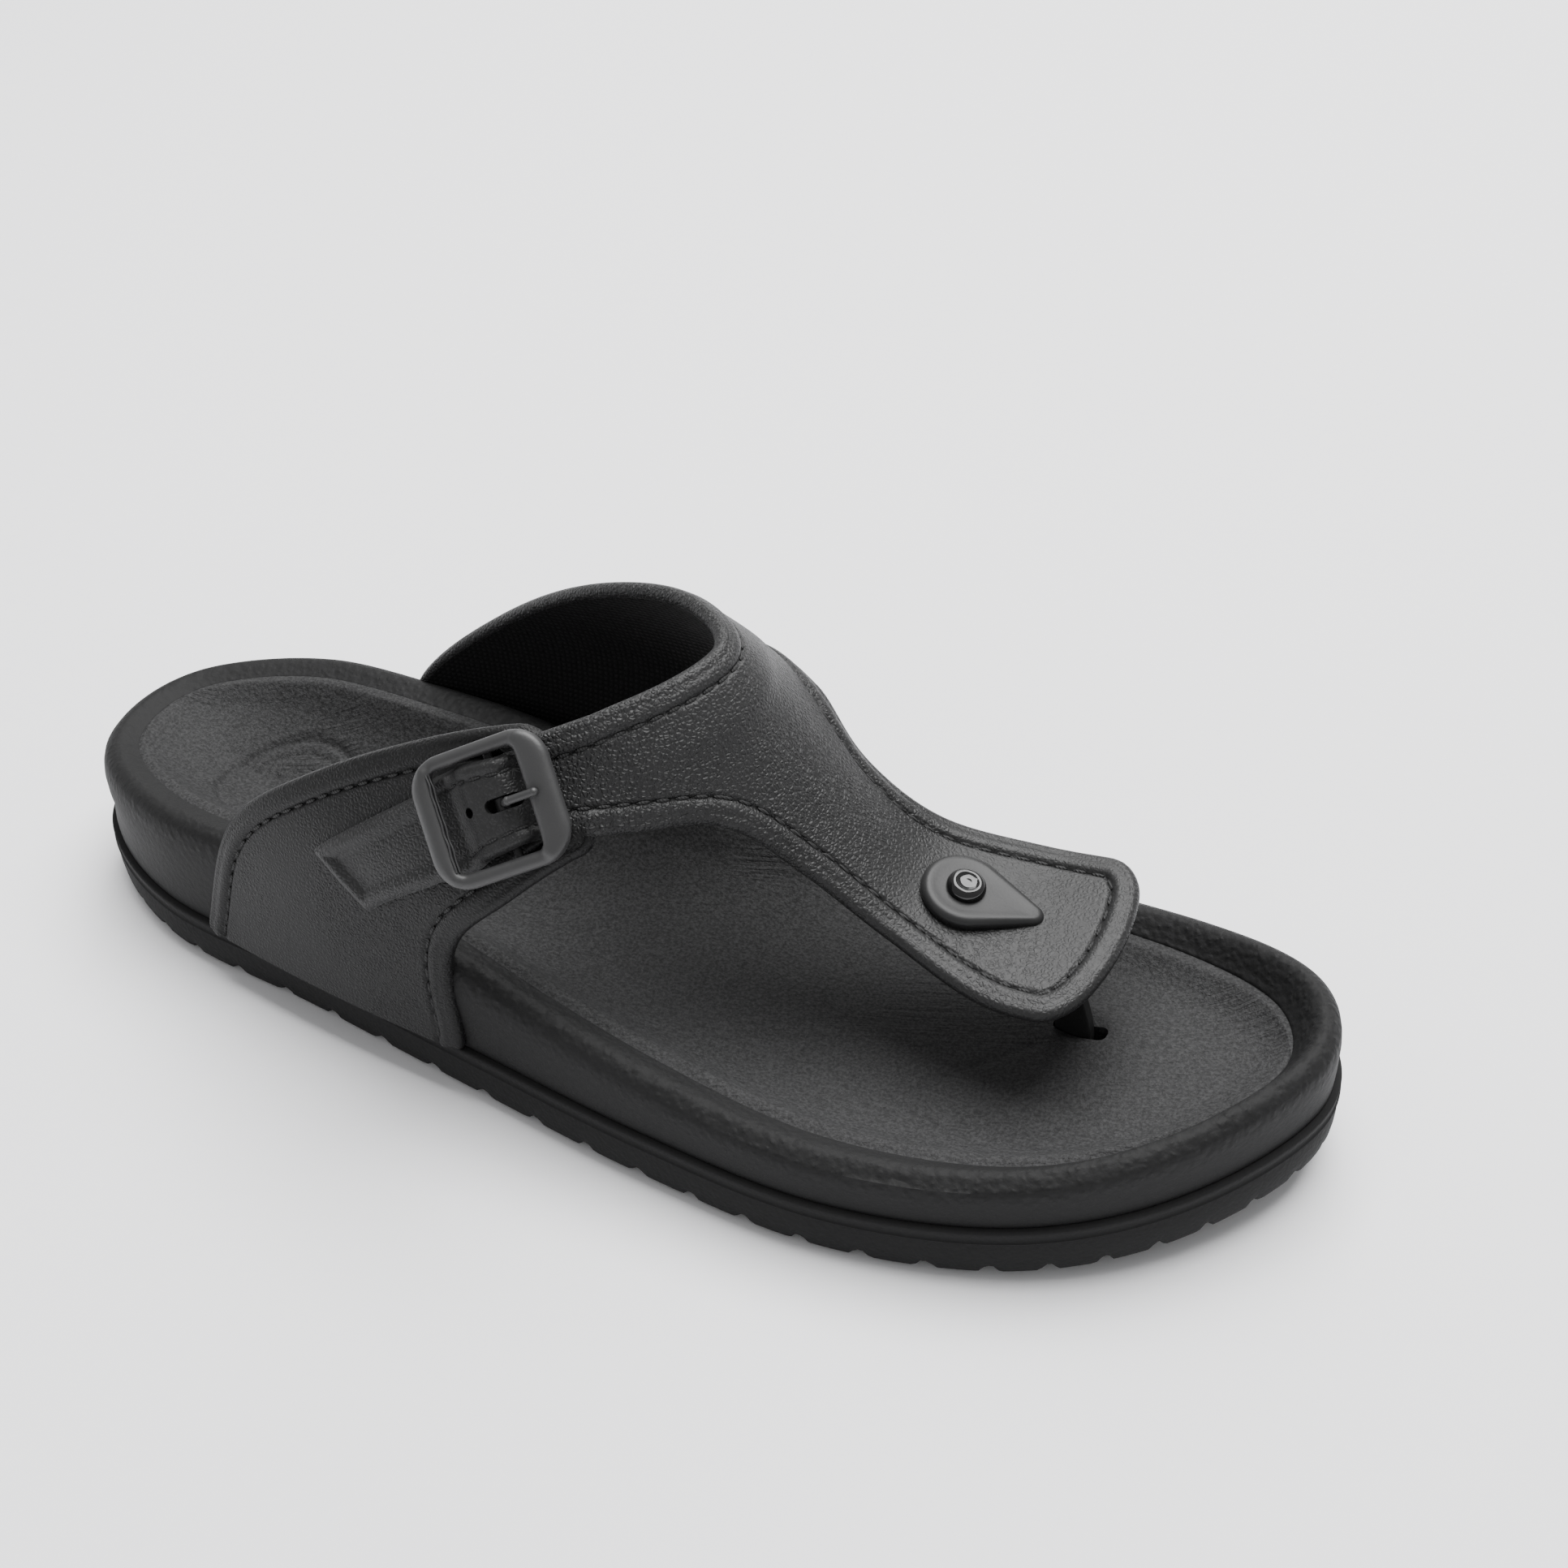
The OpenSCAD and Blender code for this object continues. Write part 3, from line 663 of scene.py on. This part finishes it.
def strap_sheet(name, levels):
    """The middle surface of the strap, with the tongue sewn to the band and the joint smoothed."""
    piece = panel(name, 9, total_rows, band_place)
    joined(piece, panel("tongue_part", 20, neck_rows, tongue_place))
    bpy.ops.object.mode_set(mode="EDIT")
    bpy.ops.mesh.select_all(action="SELECT")
    bpy.ops.mesh.remove_doubles(threshold=0.3 * MM)
    bpy.ops.mesh.select_all(action="DESELECT")
    shape = bmesh.from_edit_mesh(piece.data)
    neck = [front_edge(4 + 0.1 * k) * MM for k in range(21)]
    for v in shape.verts:
        near = min((v.co - p).length for p in neck)
        v.select = not v.is_boundary and near < 13 * MM
    bmesh.update_edit_mesh(piece.data)
    for _ in range(14):
        bpy.ops.mesh.vertices_smooth(factor=0.5)
    bpy.ops.object.mode_set(mode="OBJECT")
    refined(piece, levels)
    return piece


def hidden_end(p):
    """True at the strap's two ends, which have no rolled edge."""
    start = min((p - band_place(a / 8, 0.0)).length for a in range(1, 8))
    return p.z < 14 or start < 2.2


def leather(name, dark, light, shine, depth_mm):
    """Synthetic leather with a fine pebbled grain and a satin shine."""
    finish = Finish(name, Specular_IOR_Level=shine)
    at = finish.place()
    bent = finish.node("ShaderNodeVectorMath", {"operation": "MULTIPLY_ADD"},
                       {0: finish.node("ShaderNodeTexNoise", {}, {"Vector": at, "Scale": 700, "Detail": 2}, "Color"),
                        1: (0.0009, 0.0009, 0.0009), 2: at})
    pebble = finish.cells(bent, 1150, "SMOOTH_F1")
    crack = finish.cells(bent, 1150, "DISTANCE_TO_EDGE")
    fine = finish.noise(at, 2600, 2)
    patchy = finish.noise(at, 28, 3)
    along_foot = finish.node("ShaderNodeSeparateXYZ", {}, {0: at})
    strength = (finish.noise(at, 45, 1).between(0.3, 0.65) * 0.6 + 0.4) * (1 - along_foot.between(0.03, 0.06) * 0.6)
    height = (crack.between(0.0, 0.35) * 0.9 - pebble * 0.3) * strength + fine * 0.12
    colour = finish.tones(patchy.between(0.3, 0.7) * 0.6 + crack.between(0, 0.2) * 0.4, dark, light)
    return finish.end(colour, patchy * 0.14 + fine * 0.1 + 0.36, height, depth_mm)


strap_leather = leather("strap_leather", 0.010, 0.016, 0.29, 0.2)
strap = strap_sheet("strap_skin_sheet", 3)
strap_surface = BVHTree.FromObject(strap, bpy.context.evaluated_depsgraph_get())
rolled(strap, edge_points(strap, hidden_end))
thickened(strap, strap_t)
finished(strap, "sandal", "strap_skin", strap_leather, "upper_strap")

# ---- Lining of the strap ----
# A woven black textile glued to the inside of the strap, which shows inside the arch over the foot.
lining = strap_sheet("strap_lining_sheet", 2)


def sunk(piece, depth_mm):
    """Moves a sheet in by a depth, against its normals."""
    normals = [v.normal.copy() for v in piece.data.vertices]
    for v, normal in zip(piece.data.vertices, normals):
        v.co -= normal * depth_mm * MM


def woven(name, tone):
    """A plain weave of fine threads, in the object's own coordinates."""
    finish = Finish(name, Specular_IOR_Level=0.2)
    at = finish.node("ShaderNodeTexCoord", {}, {}, "Object")
    warp = finish.node("ShaderNodeTexWave", {"bands_direction": "X"}, {"Vector": at, "Scale": 260, "Distortion": 0.6})
    weft = finish.node("ShaderNodeTexWave", {"bands_direction": "Z"}, {"Vector": at, "Scale": 260, "Distortion": 0.6})
    fuzz = finish.noise(at, 2200, 2)
    height = warp * weft + fuzz * 0.4
    colour = finish.tones(height.between(0.1, 1.0), tone * 0.6, tone * 1.5)
    return finish.end(colour, fuzz * 0.15 + 0.8, height, 0.25)


lining_cloth = woven("lining_cloth", 0.007)
sunk(lining, strap_t + 0.02)
thickened(lining, lining_t)
finished(lining, "sandal", "strap_lining", lining_cloth, "upper_lining")

# ---- Side panel ----
# The outer side panel comes up from the ledge and carries the buckle on its rounded front end. It is the same
# leather as the strap, coloured darker here as painted shade, with the same rolled edge on both sides and a lining of
# its own.
buckle_at = Vector((-12.4, -32.6, 65.7))
buckle_out = Vector((0.113, -0.836, 0.537)).normalized()
strap_way = Vector((0.835, 0.373, 0.405))
strap_way = (strap_way - buckle_out * strap_way.dot(buckle_out)).normalized()
buckle_up = buckle_out.cross(strap_way)
opening_x, opening_l, opening_w = 0.7, 17.6, 20.0


def buckle_lobe(p):
    """How much the panel's two front corners swell round the buckle's corners."""
    x, y = (p - buckle_at).dot(strap_way), (p - buckle_at).dot(buckle_up)
    return 1.1 * smooth(5.5, 10.5, x) * smooth(5.5, 9.0, abs(y - 0.5))


def quarter_place(a, b):
    return lifted(mix(0, patch_end(a), b), a)


quarter = panel("side_panel", 12, 26, quarter_place)
refined(quarter, 3)
quarter_surface = BVHTree.FromObject(quarter, bpy.context.evaluated_depsgraph_get())
rolled(quarter, edge_points(quarter, lambda p: p.z < 13.2), lobe=buckle_lobe)
thickened(quarter, strap_t)
# A darker, less shiny copy of the strap leather: painted shade for the side panel, which faces away from the lamps.
panel_leather_with_painted_shade = leather("panel_leather_with_painted_shade", 0.006, 0.010, 0.17, 0.13)
finished(quarter, "sandal", "strap_skin", panel_leather_with_painted_shade, "quarter")

quarter_lining = panel("side_panel_lining", 12, 26, quarter_place)
refined(quarter_lining, 2)
sunk(quarter_lining, strap_t + 0.02)
thickened(quarter_lining, lining_t)
finished(quarter_lining, "sandal", "strap_lining", lining_cloth, "quarter_lining")

# ---- Piping ----
# A round cord covered with the same leather closes each edge of the strap and of the side panel; the panel's cord
# takes the panel's darker copy, which carries painted shade.


def surface_near(surface, p):
    place, normal, _, _ = surface.find_nearest(p * MM)
    return place / MM, normal


def cord_along(name, points, radius_mm):
    """A round covered cord through the points, with closed ends."""
    deselect()
    curve = bpy.data.curves.new(name, "CURVE")
    curve.dimensions = "3D"
    curve.bevel_depth = radius_mm * MM
    curve.bevel_resolution = 5
    curve.use_fill_caps = True
    line = curve.splines.new("POLY")
    line.points.add(len(points) - 1)
    for target, p in zip(line.points, points):
        target.co = (*(p * MM), 1)
    piece = bpy.data.objects.new(name, curve)
    bpy.context.scene.collection.objects.link(piece)
    piece.select_set(True)
    bpy.context.view_layer.objects.active = piece
    bpy.ops.object.convert(target="MESH")
    piece = bpy.context.object
    bpy.ops.object.shade_smooth()
    return piece


def piping(name, surface, path, count, radius_mm=1.65, depth_mm=1.4):
    points = []
    for k in range(count + 1):
        place, normal = surface_near(surface, path(k / count))
        points.append(place - normal * depth_mm)
    return cord_along(name, points, radius_mm)


def strap_rear(t):
    return band_start(0, mix(3.44, 9.95, t))


def strap_front_out(t):
    return band_start(1, mix(2.8, 3.999, t))


def strap_front_in(t):
    return front_edge(mix(6.001, 9.9, t))


def tongue_edge(t):
    """Once round the tongue: down its outer edge, across the tab and back up its inner edge."""
    if t < 0.4:
        return tongue(mix(0.0, tab_end(-1), t / 0.4), -1)
    if t > 0.6:
        return tongue(mix(tab_end(1), 0.0, (t - 0.6) / 0.4), 1)
    w = mix(-1, 1, (t - 0.4) / 0.2)
    return tongue(tab_end(w), w)


strap_cord = piping("strap_cord", strap_surface, strap_rear, 150)
for part in (piping("strap_cord_out", strap_surface, strap_front_out, 30),
             piping("strap_cord_in", strap_surface, strap_front_in, 90)):
    joined(strap_cord, part)
finished(strap_cord, "sandal", "strap_skin", strap_leather, "upper_piping")
tongue_cord = piping("tongue_cord", strap_surface, tongue_edge, 200)
finished(tongue_cord, "sandal", "strap_skin", strap_leather, "tongue_piping")


def quarter_round(t):
    """Up the panel's rear edge, round its front end and down its front edge."""
    if t < 0.4:
        return lifted(mix(0.02, patch_end(0), t / 0.4), 0)
    if t > 0.6:
        return lifted(mix(patch_end(1), 0.02, (t - 0.6) / 0.4), 1)
    v = (t - 0.4) / 0.2
    return lifted(patch_end(v), v)


# The panel's cord takes the same darker copy of the leather, with its painted shade.
quarter_cord = piping("side_panel_cord", quarter_surface, quarter_round, 220)
finished(quarter_cord, "sandal", "strap_skin", panel_leather_with_painted_shade, "quarter_piping")

# ---- Strap end ----
# The narrower holed end runs through the buckle, rises over its hidden bar and lies on the side panel behind
# it, with a slanted tip and a raised border. It has a rolled edge, a slot for the prong and a spare hole.
END_TOP = [(1.4, 0.34), (2.53, 0.31), (3.59, 0.11)]
END_LOW = [(1.07, 0.69), (1.88, 0.8), (2.98, 0.86)]
end_t = 1.4
bar_x, bar_z, loop_r = 3.0, 2.0, 1.35
hump_h = bar_z + loop_r + 0.35


def at_buckle(x, y, z):
    """A point given along the strap, across it and out of the side panel, from the buckle's middle."""
    return buckle_at + strap_way * x + buckle_up * y + buckle_out * z


def hump(p):
    x = (p - buckle_at).dot(strap_way)
    return hump_h * smooth(-7, -1, x) * smooth(9.6, 5.2, x)


def widened(q, side):
    x = (lifted(*q) - buckle_at).dot(strap_way)
    return q + Vector((0, side * smooth(-13, -8.5, x) * smooth(12, 8.5, x)))


def end_place(a, b):
    u, v = mix(widened(along(END_TOP, 2 * b), -0.05), widened(along(END_LOW, 2 * b), 0.03), a)
    return lifted(u, v, 0.05 + end_t + hump(lifted(u, v)))


strap_end = panel("strap_end_sheet", 14, 48, end_place)
refined(strap_end, 2)
end_surface = BVHTree.FromObject(strap_end, bpy.context.evaluated_depsgraph_get())
end_front = [end_place(a / 12, 1.0) for a in range(1, 12)]
end_edge = edge_points(strap_end, lambda p: min((p - q).length for q in end_front) < 1.5)
end_edge_tree = nearest_of(end_edge)
end_normals = [v.normal.copy() for v in strap_end.data.vertices]
for v, normal in zip(strap_end.data.vertices, end_normals):
    d = end_edge_tree.find(v.co)[2] / MM
    tail = smooth(-10, -13.5, (v.co / MM - buckle_at).dot(strap_way))
    border = 0.55 * math.exp(-((d - 1.9) / 1.1) ** 2) - 0.5 * smooth(0.8, 0, d) - 0.4 * smooth(2.8, 4.4, d)
    end_groove = 0.35 * math.exp(-((d - 2.9) / 0.45) ** 2)
    edging = 0.4 * math.exp(-((d - 1.4) / 1.0) ** 2) - 0.8 * smooth(0.8, 0, d) - end_groove
    v.co += normal * mix(edging, border, tail) * MM
thickened(strap_end, end_t)


def drill(piece, x, y, radius_mm, long_mm=0.0):
    """Cuts a round hole, or a slot of the given extra length, through a piece at the buckle."""
    deselect()
    bpy.ops.mesh.primitive_cylinder_add(vertices=32, radius=radius_mm * MM, depth=14 * MM)
    cutter = bpy.context.object
    turn = Matrix((strap_way, buckle_up, buckle_out)).transposed().to_4x4()
    for v in cutter.data.vertices:
        v.co.x += long_mm * MM if v.co.x > 0 else 0
    cutter.data.transform(Matrix.Translation(at_buckle(x, y, 2) * MM) @ turn)
    cut(piece, cutter)


drill(strap_end, bar_x - 0.9, 0, 1.3, 4.5)
drill(strap_end, -2.8, 0.3, 1.0)
bpy.ops.object.shade_smooth_by_angle(angle=CREASE)
end_leather = leather("end_leather", 0.010, 0.016, 0.26, 0.12)
finished(strap_end, "sandal", "strap_skin", end_leather, "strap_end")

# ---- Stitches ----
# A row of short black threads lies in the groove beside every rolled edge. Each stitch is a small spindle
# that follows the surface.
thread = Finish("thread", Specular_IOR_Level=0.3)
thread_at = thread.place()
twist = thread.node("ShaderNodeTexWave", {"bands_direction": "DIAGONAL"}, {"Vector": thread_at, "Scale": 700})
lint = thread.noise(thread_at, 3000)
thread_finish = thread.end(thread.tones(twist, 0.008, 0.02), lint * 0.2 + 0.55, twist, 0.08)


def stitched(name, rows, length=2.6, gap=0.9, radius=0.4):
    """Stitches along rows, each a surface, a path, the distance in from it and how deep the groove is."""
    deselect()
    bpy.ops.mesh.primitive_uv_sphere_add(segments=10, ring_count=8, radius=1)
    model = bpy.context.object
    shape = bmesh.new()
    for surface, path, inward, depth in rows:
        count = 400
        places = [surface_near(surface, path(k / count)) for k in range(count + 1)]
        line = []
        for k, (p, normal) in enumerate(places):
            step = (places[min(k + 1, count)][0] - places[max(k - 1, 0)][0]).normalized()
            way = normal.cross(step).normalized()
            tries = [surface_near(surface, p + way * (s * inward)) + (p + way * (s * inward),) for s in (-1, 1)]
            best = min(tries, key=lambda t: (t[0] - t[2]).length)
            line.append((best[0] - best[1] * depth, best[1]))
        run = 0.0
        next_at = 0.6
        for (p, normal), (q, _) in zip(line, line[1:]):
            run += (q - p).length
            if run < next_at:
                continue
            step = (q - p).normalized()
            across = normal.cross(step).normalized()
            turn = Matrix((step, across, step.cross(across))).transposed().to_4x4()
            size = Matrix.Diagonal((length / 2, radius, radius * 0.8, 1))
            start = len(shape.verts)
            shape.from_mesh(model.data)
            shape.verts.ensure_lookup_table()
            for v in shape.verts[start:]:
                v.co = (Matrix.Translation(p) @ turn @ size @ v.co) * MM
            next_at = run + length + gap
    mesh = bpy.data.meshes.new(name)
    shape.to_mesh(mesh)
    shape.free()
    bpy.data.objects.remove(model)
    piece = bpy.data.objects.new(name, mesh)
    bpy.context.scene.collection.objects.link(piece)
    for face in mesh.polygons:
        face.use_smooth = True
    finished(piece, "sandal", "strap_skin", thread_finish)


stitched("strap_stitches", [(strap_surface, strap_rear, 3.6, 0.3), (strap_surface, strap_front_out, 3.6, 0.3),
                            (strap_surface, strap_front_in, 3.6, 0.3), (strap_surface, tongue_edge, 3.6, 0.3)])
stitched("side_panel_stitches", [(quarter_surface, lambda t: lifted(mix(0.1, 3.2, t), 0), 3.6, 0.3),
                                 (quarter_surface, lambda t: lifted(mix(0.1, 2.2, t), 1), 3.6, 0.3)])
stitched("strap_end_stitches", [(end_surface, lambda t: end_place(0, mix(0.66, 0.97, t)), 2.9, 0.2),
                                (end_surface, lambda t: end_place(1, mix(0.66, 0.97, t)), 2.9, 0.2)], 2.6, 0.8, 0.3)

# ---- Toe post ----
# A flat band of smooth rubber goes from the tab's underside through the footbed's slot, a little forward as
# it goes down. It widens where it meets the tab, and a disc under the sole anchors it.
deselect()
bpy.ops.mesh.primitive_cube_add(size=1)
post = bpy.context.object
post.name = post.data.name = "post_band"
bpy.ops.object.mode_set(mode="EDIT")
bpy.ops.mesh.select_all(action="SELECT")
bpy.ops.mesh.subdivide(number_cuts=9)
bpy.ops.object.mode_set(mode="OBJECT")
post_low, post_high = 5.0, 37.4
for v in post.data.vertices:
    rise = v.co.z + 0.5
    z = mix(post_low, post_high, rise)
    lean = -6.0 * max(z - 17, 0) / 20.6
    flare = 1 + 0.3 * smooth(29, 37.4, z)
    round_off = math.sqrt(max(1 - (v.co.x * 2) ** 2 * 0.45, 0.1))
    v.co = Vector((post_at.x + lean + v.co.x * 7.2 * flare, post_at.y + v.co.y * 3.1 * round_off * flare, z)) * MM
refined(post, 2)
bpy.ops.object.shade_smooth()
rubber = Finish("post_rubber", Specular_IOR_Level=0.5)
rubber_at = rubber.place()
rubber_grain = rubber.noise(rubber_at, 900, 3)
rubber_finish = rubber.end(rubber.tones(rubber_grain, 0.010, 0.018), rubber_grain * 0.2 + 0.32, rubber_grain, 0.04)
finished(post, "sandal", "post_rubber", rubber_finish, "toe_post")
refinished("post_anchor", rubber_finish)

# ---- Drop-shaped plate and rivet ----
# A drop-shaped plastic plate with a rounded edge lies on the tongue. A rivet with a glossy domed cap goes
# through it and the strap into a washer on the inside.
stud_s = 2.45
stud_at = tongue(stud_s, 0)
stud_x = (tongue(stud_s + 0.1, 0) - tongue(stud_s - 0.1, 0)).normalized()
stud_out = stud_x.cross(tongue(stud_s, 0.1) - tongue(stud_s, -0.1)).normalized()
stud_y = stud_out.cross(stud_x)


def at_stud(x, y, z):
    return stud_at + stud_x * x + stud_y * y + stud_out * z


def drop_outline(inset, count=120):
    """The plate's outline: a large arc round the rivet, a small one at the tip and straight sides."""
    big, small, reach = 8.2 - inset, 2.2 - inset * 0.6, 13.2 - inset * 0.3
    lean = math.asin((big - small) / reach)
    swing = Matrix.Rotation(math.radians(7), 2)
    corner = math.pi / 2 - lean
    points = []
    for k in range(count):
        angle = mix(-math.pi, math.pi, k / count)
        if abs(angle) < corner:
            spread = angle / corner
            if abs(spread) > 0.5:
                sign = 1 if spread > 0 else -1
                t = (1 - abs(spread)) / 0.5
                far = Vector((reach + small * math.cos(corner), sign * small * math.sin(corner)))
                near = Vector((big * math.cos(corner), sign * big * math.sin(corner)))
                points.append(mix(near, far, t))
            else:
                turn = spread * 2 * corner
                points.append(Vector((reach + small * math.cos(turn), small * math.sin(turn))))
        else:
            points.append(Vector((big * math.cos(angle), big * math.sin(angle))))
    return [swing @ p for p in points]


plate_rows = [(0.2, -0.4, 1), (0.1, 0.3, 1), (-0.15, 0.9, 1), (-0.1, 1.5, 1), (0.15, 2.0, 1), (0.6, 2.4, 1),
              (1.1, 2.58, 1), (1.6, 2.6, 1), (1.6, 2.52, 0.9), (1.6, 2.45, 0.75), (1.6, 2.45, 0.5)]
plate = stacked("drop_plate_body", [[at_stud(p.x * share, p.y * share, z) for p in drop_outline(inset)]
                                    for inset, z, share in plate_rows], closed=(False, True))
plastic = Finish("plate_plastic", Specular_IOR_Level=0.27)
plastic_at = plastic.place()
plastic_grain = plastic.noise(plastic_at, 1800, 3)
plastic_cloud = plastic.noise(plastic_at, 120, 3)
finished(plate, "sandal", "plate_plastic",
         plastic.end(plastic.tones(plastic_cloud, 0.012, 0.018), plastic_cloud * 0.15 + 0.34, plastic_grain, 0.02),
         "drop_plate")

cap_rows = [(3.7, 2.2), (3.75, 2.6), (3.75, 3.0), (3.6, 3.5), (3.3, 3.95), (2.95, 4.25), (2.6, 4.4), (2.3, 4.42),
            (2.05, 4.3), (1.8, 4.15), (1.5, 4.06), (1.1, 4.04), (0.7, 4.08), (0.3, 4.1)]
cap = stacked("rivet_cap", [[at_stud(r * math.cos(k * math.tau / 72), r * math.sin(k * math.tau / 72), z)
                             for k in range(72)] for r, z in cap_rows], closed=(False, True))
gloss = Finish("rivet_gloss", Specular_IOR_Level=0.5)
gloss_wear = gloss.noise(gloss.place(), 400, 3)
finished(cap, "sandal", "stud_gloss", gloss.end(gloss.tones(gloss_wear, 0.003, 0.006), gloss_wear * 0.06 + 0.05,
                                                gloss_wear, 0.005), "stud")

# The steel for the rivet's washer and the buckle's bar is coloured almost black, a painted shade, so the bar seen
# beside the strap end in the buckle reads as shadow.
steel = Finish("hidden_steel_painted_shade_black", Metallic=1.0)
steel_line = steel.noise(steel.place((20, 1, 1)), 900, 3)
shade_black_steel_finish = steel.end(steel.tones(steel_line, 0.02, 0.05), steel_line * 0.2 + 0.4, steel_line, 0.01)
refinished("stud_back", shade_black_steel_finish)
# Painted shade: the bar is near-black so that it reads as shadow inside the buckle.
refinished("buckle_bar", shade_black_steel_finish)
refinished("bar_loops", strap_leather)

# ---- Buckle ----
# A moulded frame with two round rails, a wide flat front bar and a narrower rear bar. It rocks on a bar that
# two loops hold on the side panel, and the prong turns on the same bar.
front_bar_w, rear_bar_w, rail_w = 5.8, 4.4, 2.9
frame_z, frame_t = 4.2, 2.8
deselect()
bpy.ops.mesh.primitive_torus_add(major_segments=160, minor_segments=28, major_radius=1, minor_radius=0.5)
buckle = bpy.context.object
buckle.name = buckle.data.name = "buckle_frame_body"


def rounded_reach(way, half_l, half_w, r):
    """How far it is from the middle of a rounded rectangle to its outline, in a direction."""
    c, s = max(abs(way.x), 1e-6), max(abs(way.y), 1e-6)
    if half_l * s / c <= half_w - r:
        return half_l / c
    if half_w * c / s <= half_l - r:
        return half_w / s
    corner = Vector((half_l - r, half_w - r))
    near = corner.x * c + corner.y * s
    return near + math.sqrt(max(near ** 2 - corner.length_squared + r * r, 0))


for v in buckle.data.vertices:
    angle = math.atan2(v.co.y, v.co.x)
    ring = math.hypot(v.co.x, v.co.y) - 1
    turn = math.atan2(v.co.z, ring)
    way = Vector((math.cos(angle), math.sin(angle)))
    bar_w = front_bar_w if way.x > 0 else rear_bar_w
    outer = rounded_reach(way, opening_l / 2 + bar_w, opening_w / 2 + rail_w, 6.8)
    inner = rounded_reach(way, opening_l / 2, opening_w / 2, 1.4)
    r_middle = (inner + outer) / 2
    flat = smooth(opening_l / 2 - 0.6, opening_l / 2 + 0.8, abs(way.x * r_middle))
    power = mix(2.0, 3.4, flat)
    cx = math.copysign(abs(math.cos(turn)) ** (2 / power), math.cos(turn))
    cz = math.copysign(abs(math.sin(turn)) ** (2 / power), math.sin(turn))
    r = r_middle + cx * (outer - inner) / 2
    high = 0.35 * (1 - cx * cx) * flat if cz > 0 else 0
    sink = 0.25 * (1 - flat)
    slope = -0.5 * flat * max(cx, 0) if way.x < 0 and cz > 0 else 0
    rail_y = way.y * r * (0.94 if way.y > 0 else 1)
    v.co = at_buckle(opening_x + way.x * r, rail_y, frame_z + cz * frame_t / 2 + high - sink + slope) * MM
bpy.ops.object.shade_smooth()
buckle_plastic = Finish("buckle_plastic", Specular_IOR_Level=0.45)
buckle_place = buckle_plastic.place()
buckle_grain = buckle_plastic.noise(buckle_place, 1500, 4, 0.6)
buckle_cloud = buckle_plastic.noise(buckle_place, 90, 3)
buckle_finish = buckle_plastic.end(
    buckle_plastic.tones(buckle_cloud, 0.022, 0.034), buckle_cloud * 0.2 + buckle_grain * 0.1 + 0.33,
    buckle_grain, 0.04)
flash_inner, flash_reach, flash_steps = opening_x - opening_l / 2, 9.2, 120
for lift, aside, wave in ((1.25, 0.0, 0.9), (0.75, 0.35, 2.3)):
    flash = []
    for k in range(flash_steps + 1):
        waver = 0.12 * math.sin(k * 0.21 + wave) * math.sin(k * 0.043)
        flash.append(at_buckle(flash_inner + aside + waver, mix(-flash_reach, flash_reach, k / flash_steps),
                               frame_z + lift))
    joined(buckle, cord_along("flash", flash, 0.2))
finished(buckle, "buckle", "buckle_plastic", buckle_finish, "buckle_frame")

refinished("buckle_prong", buckle_finish)
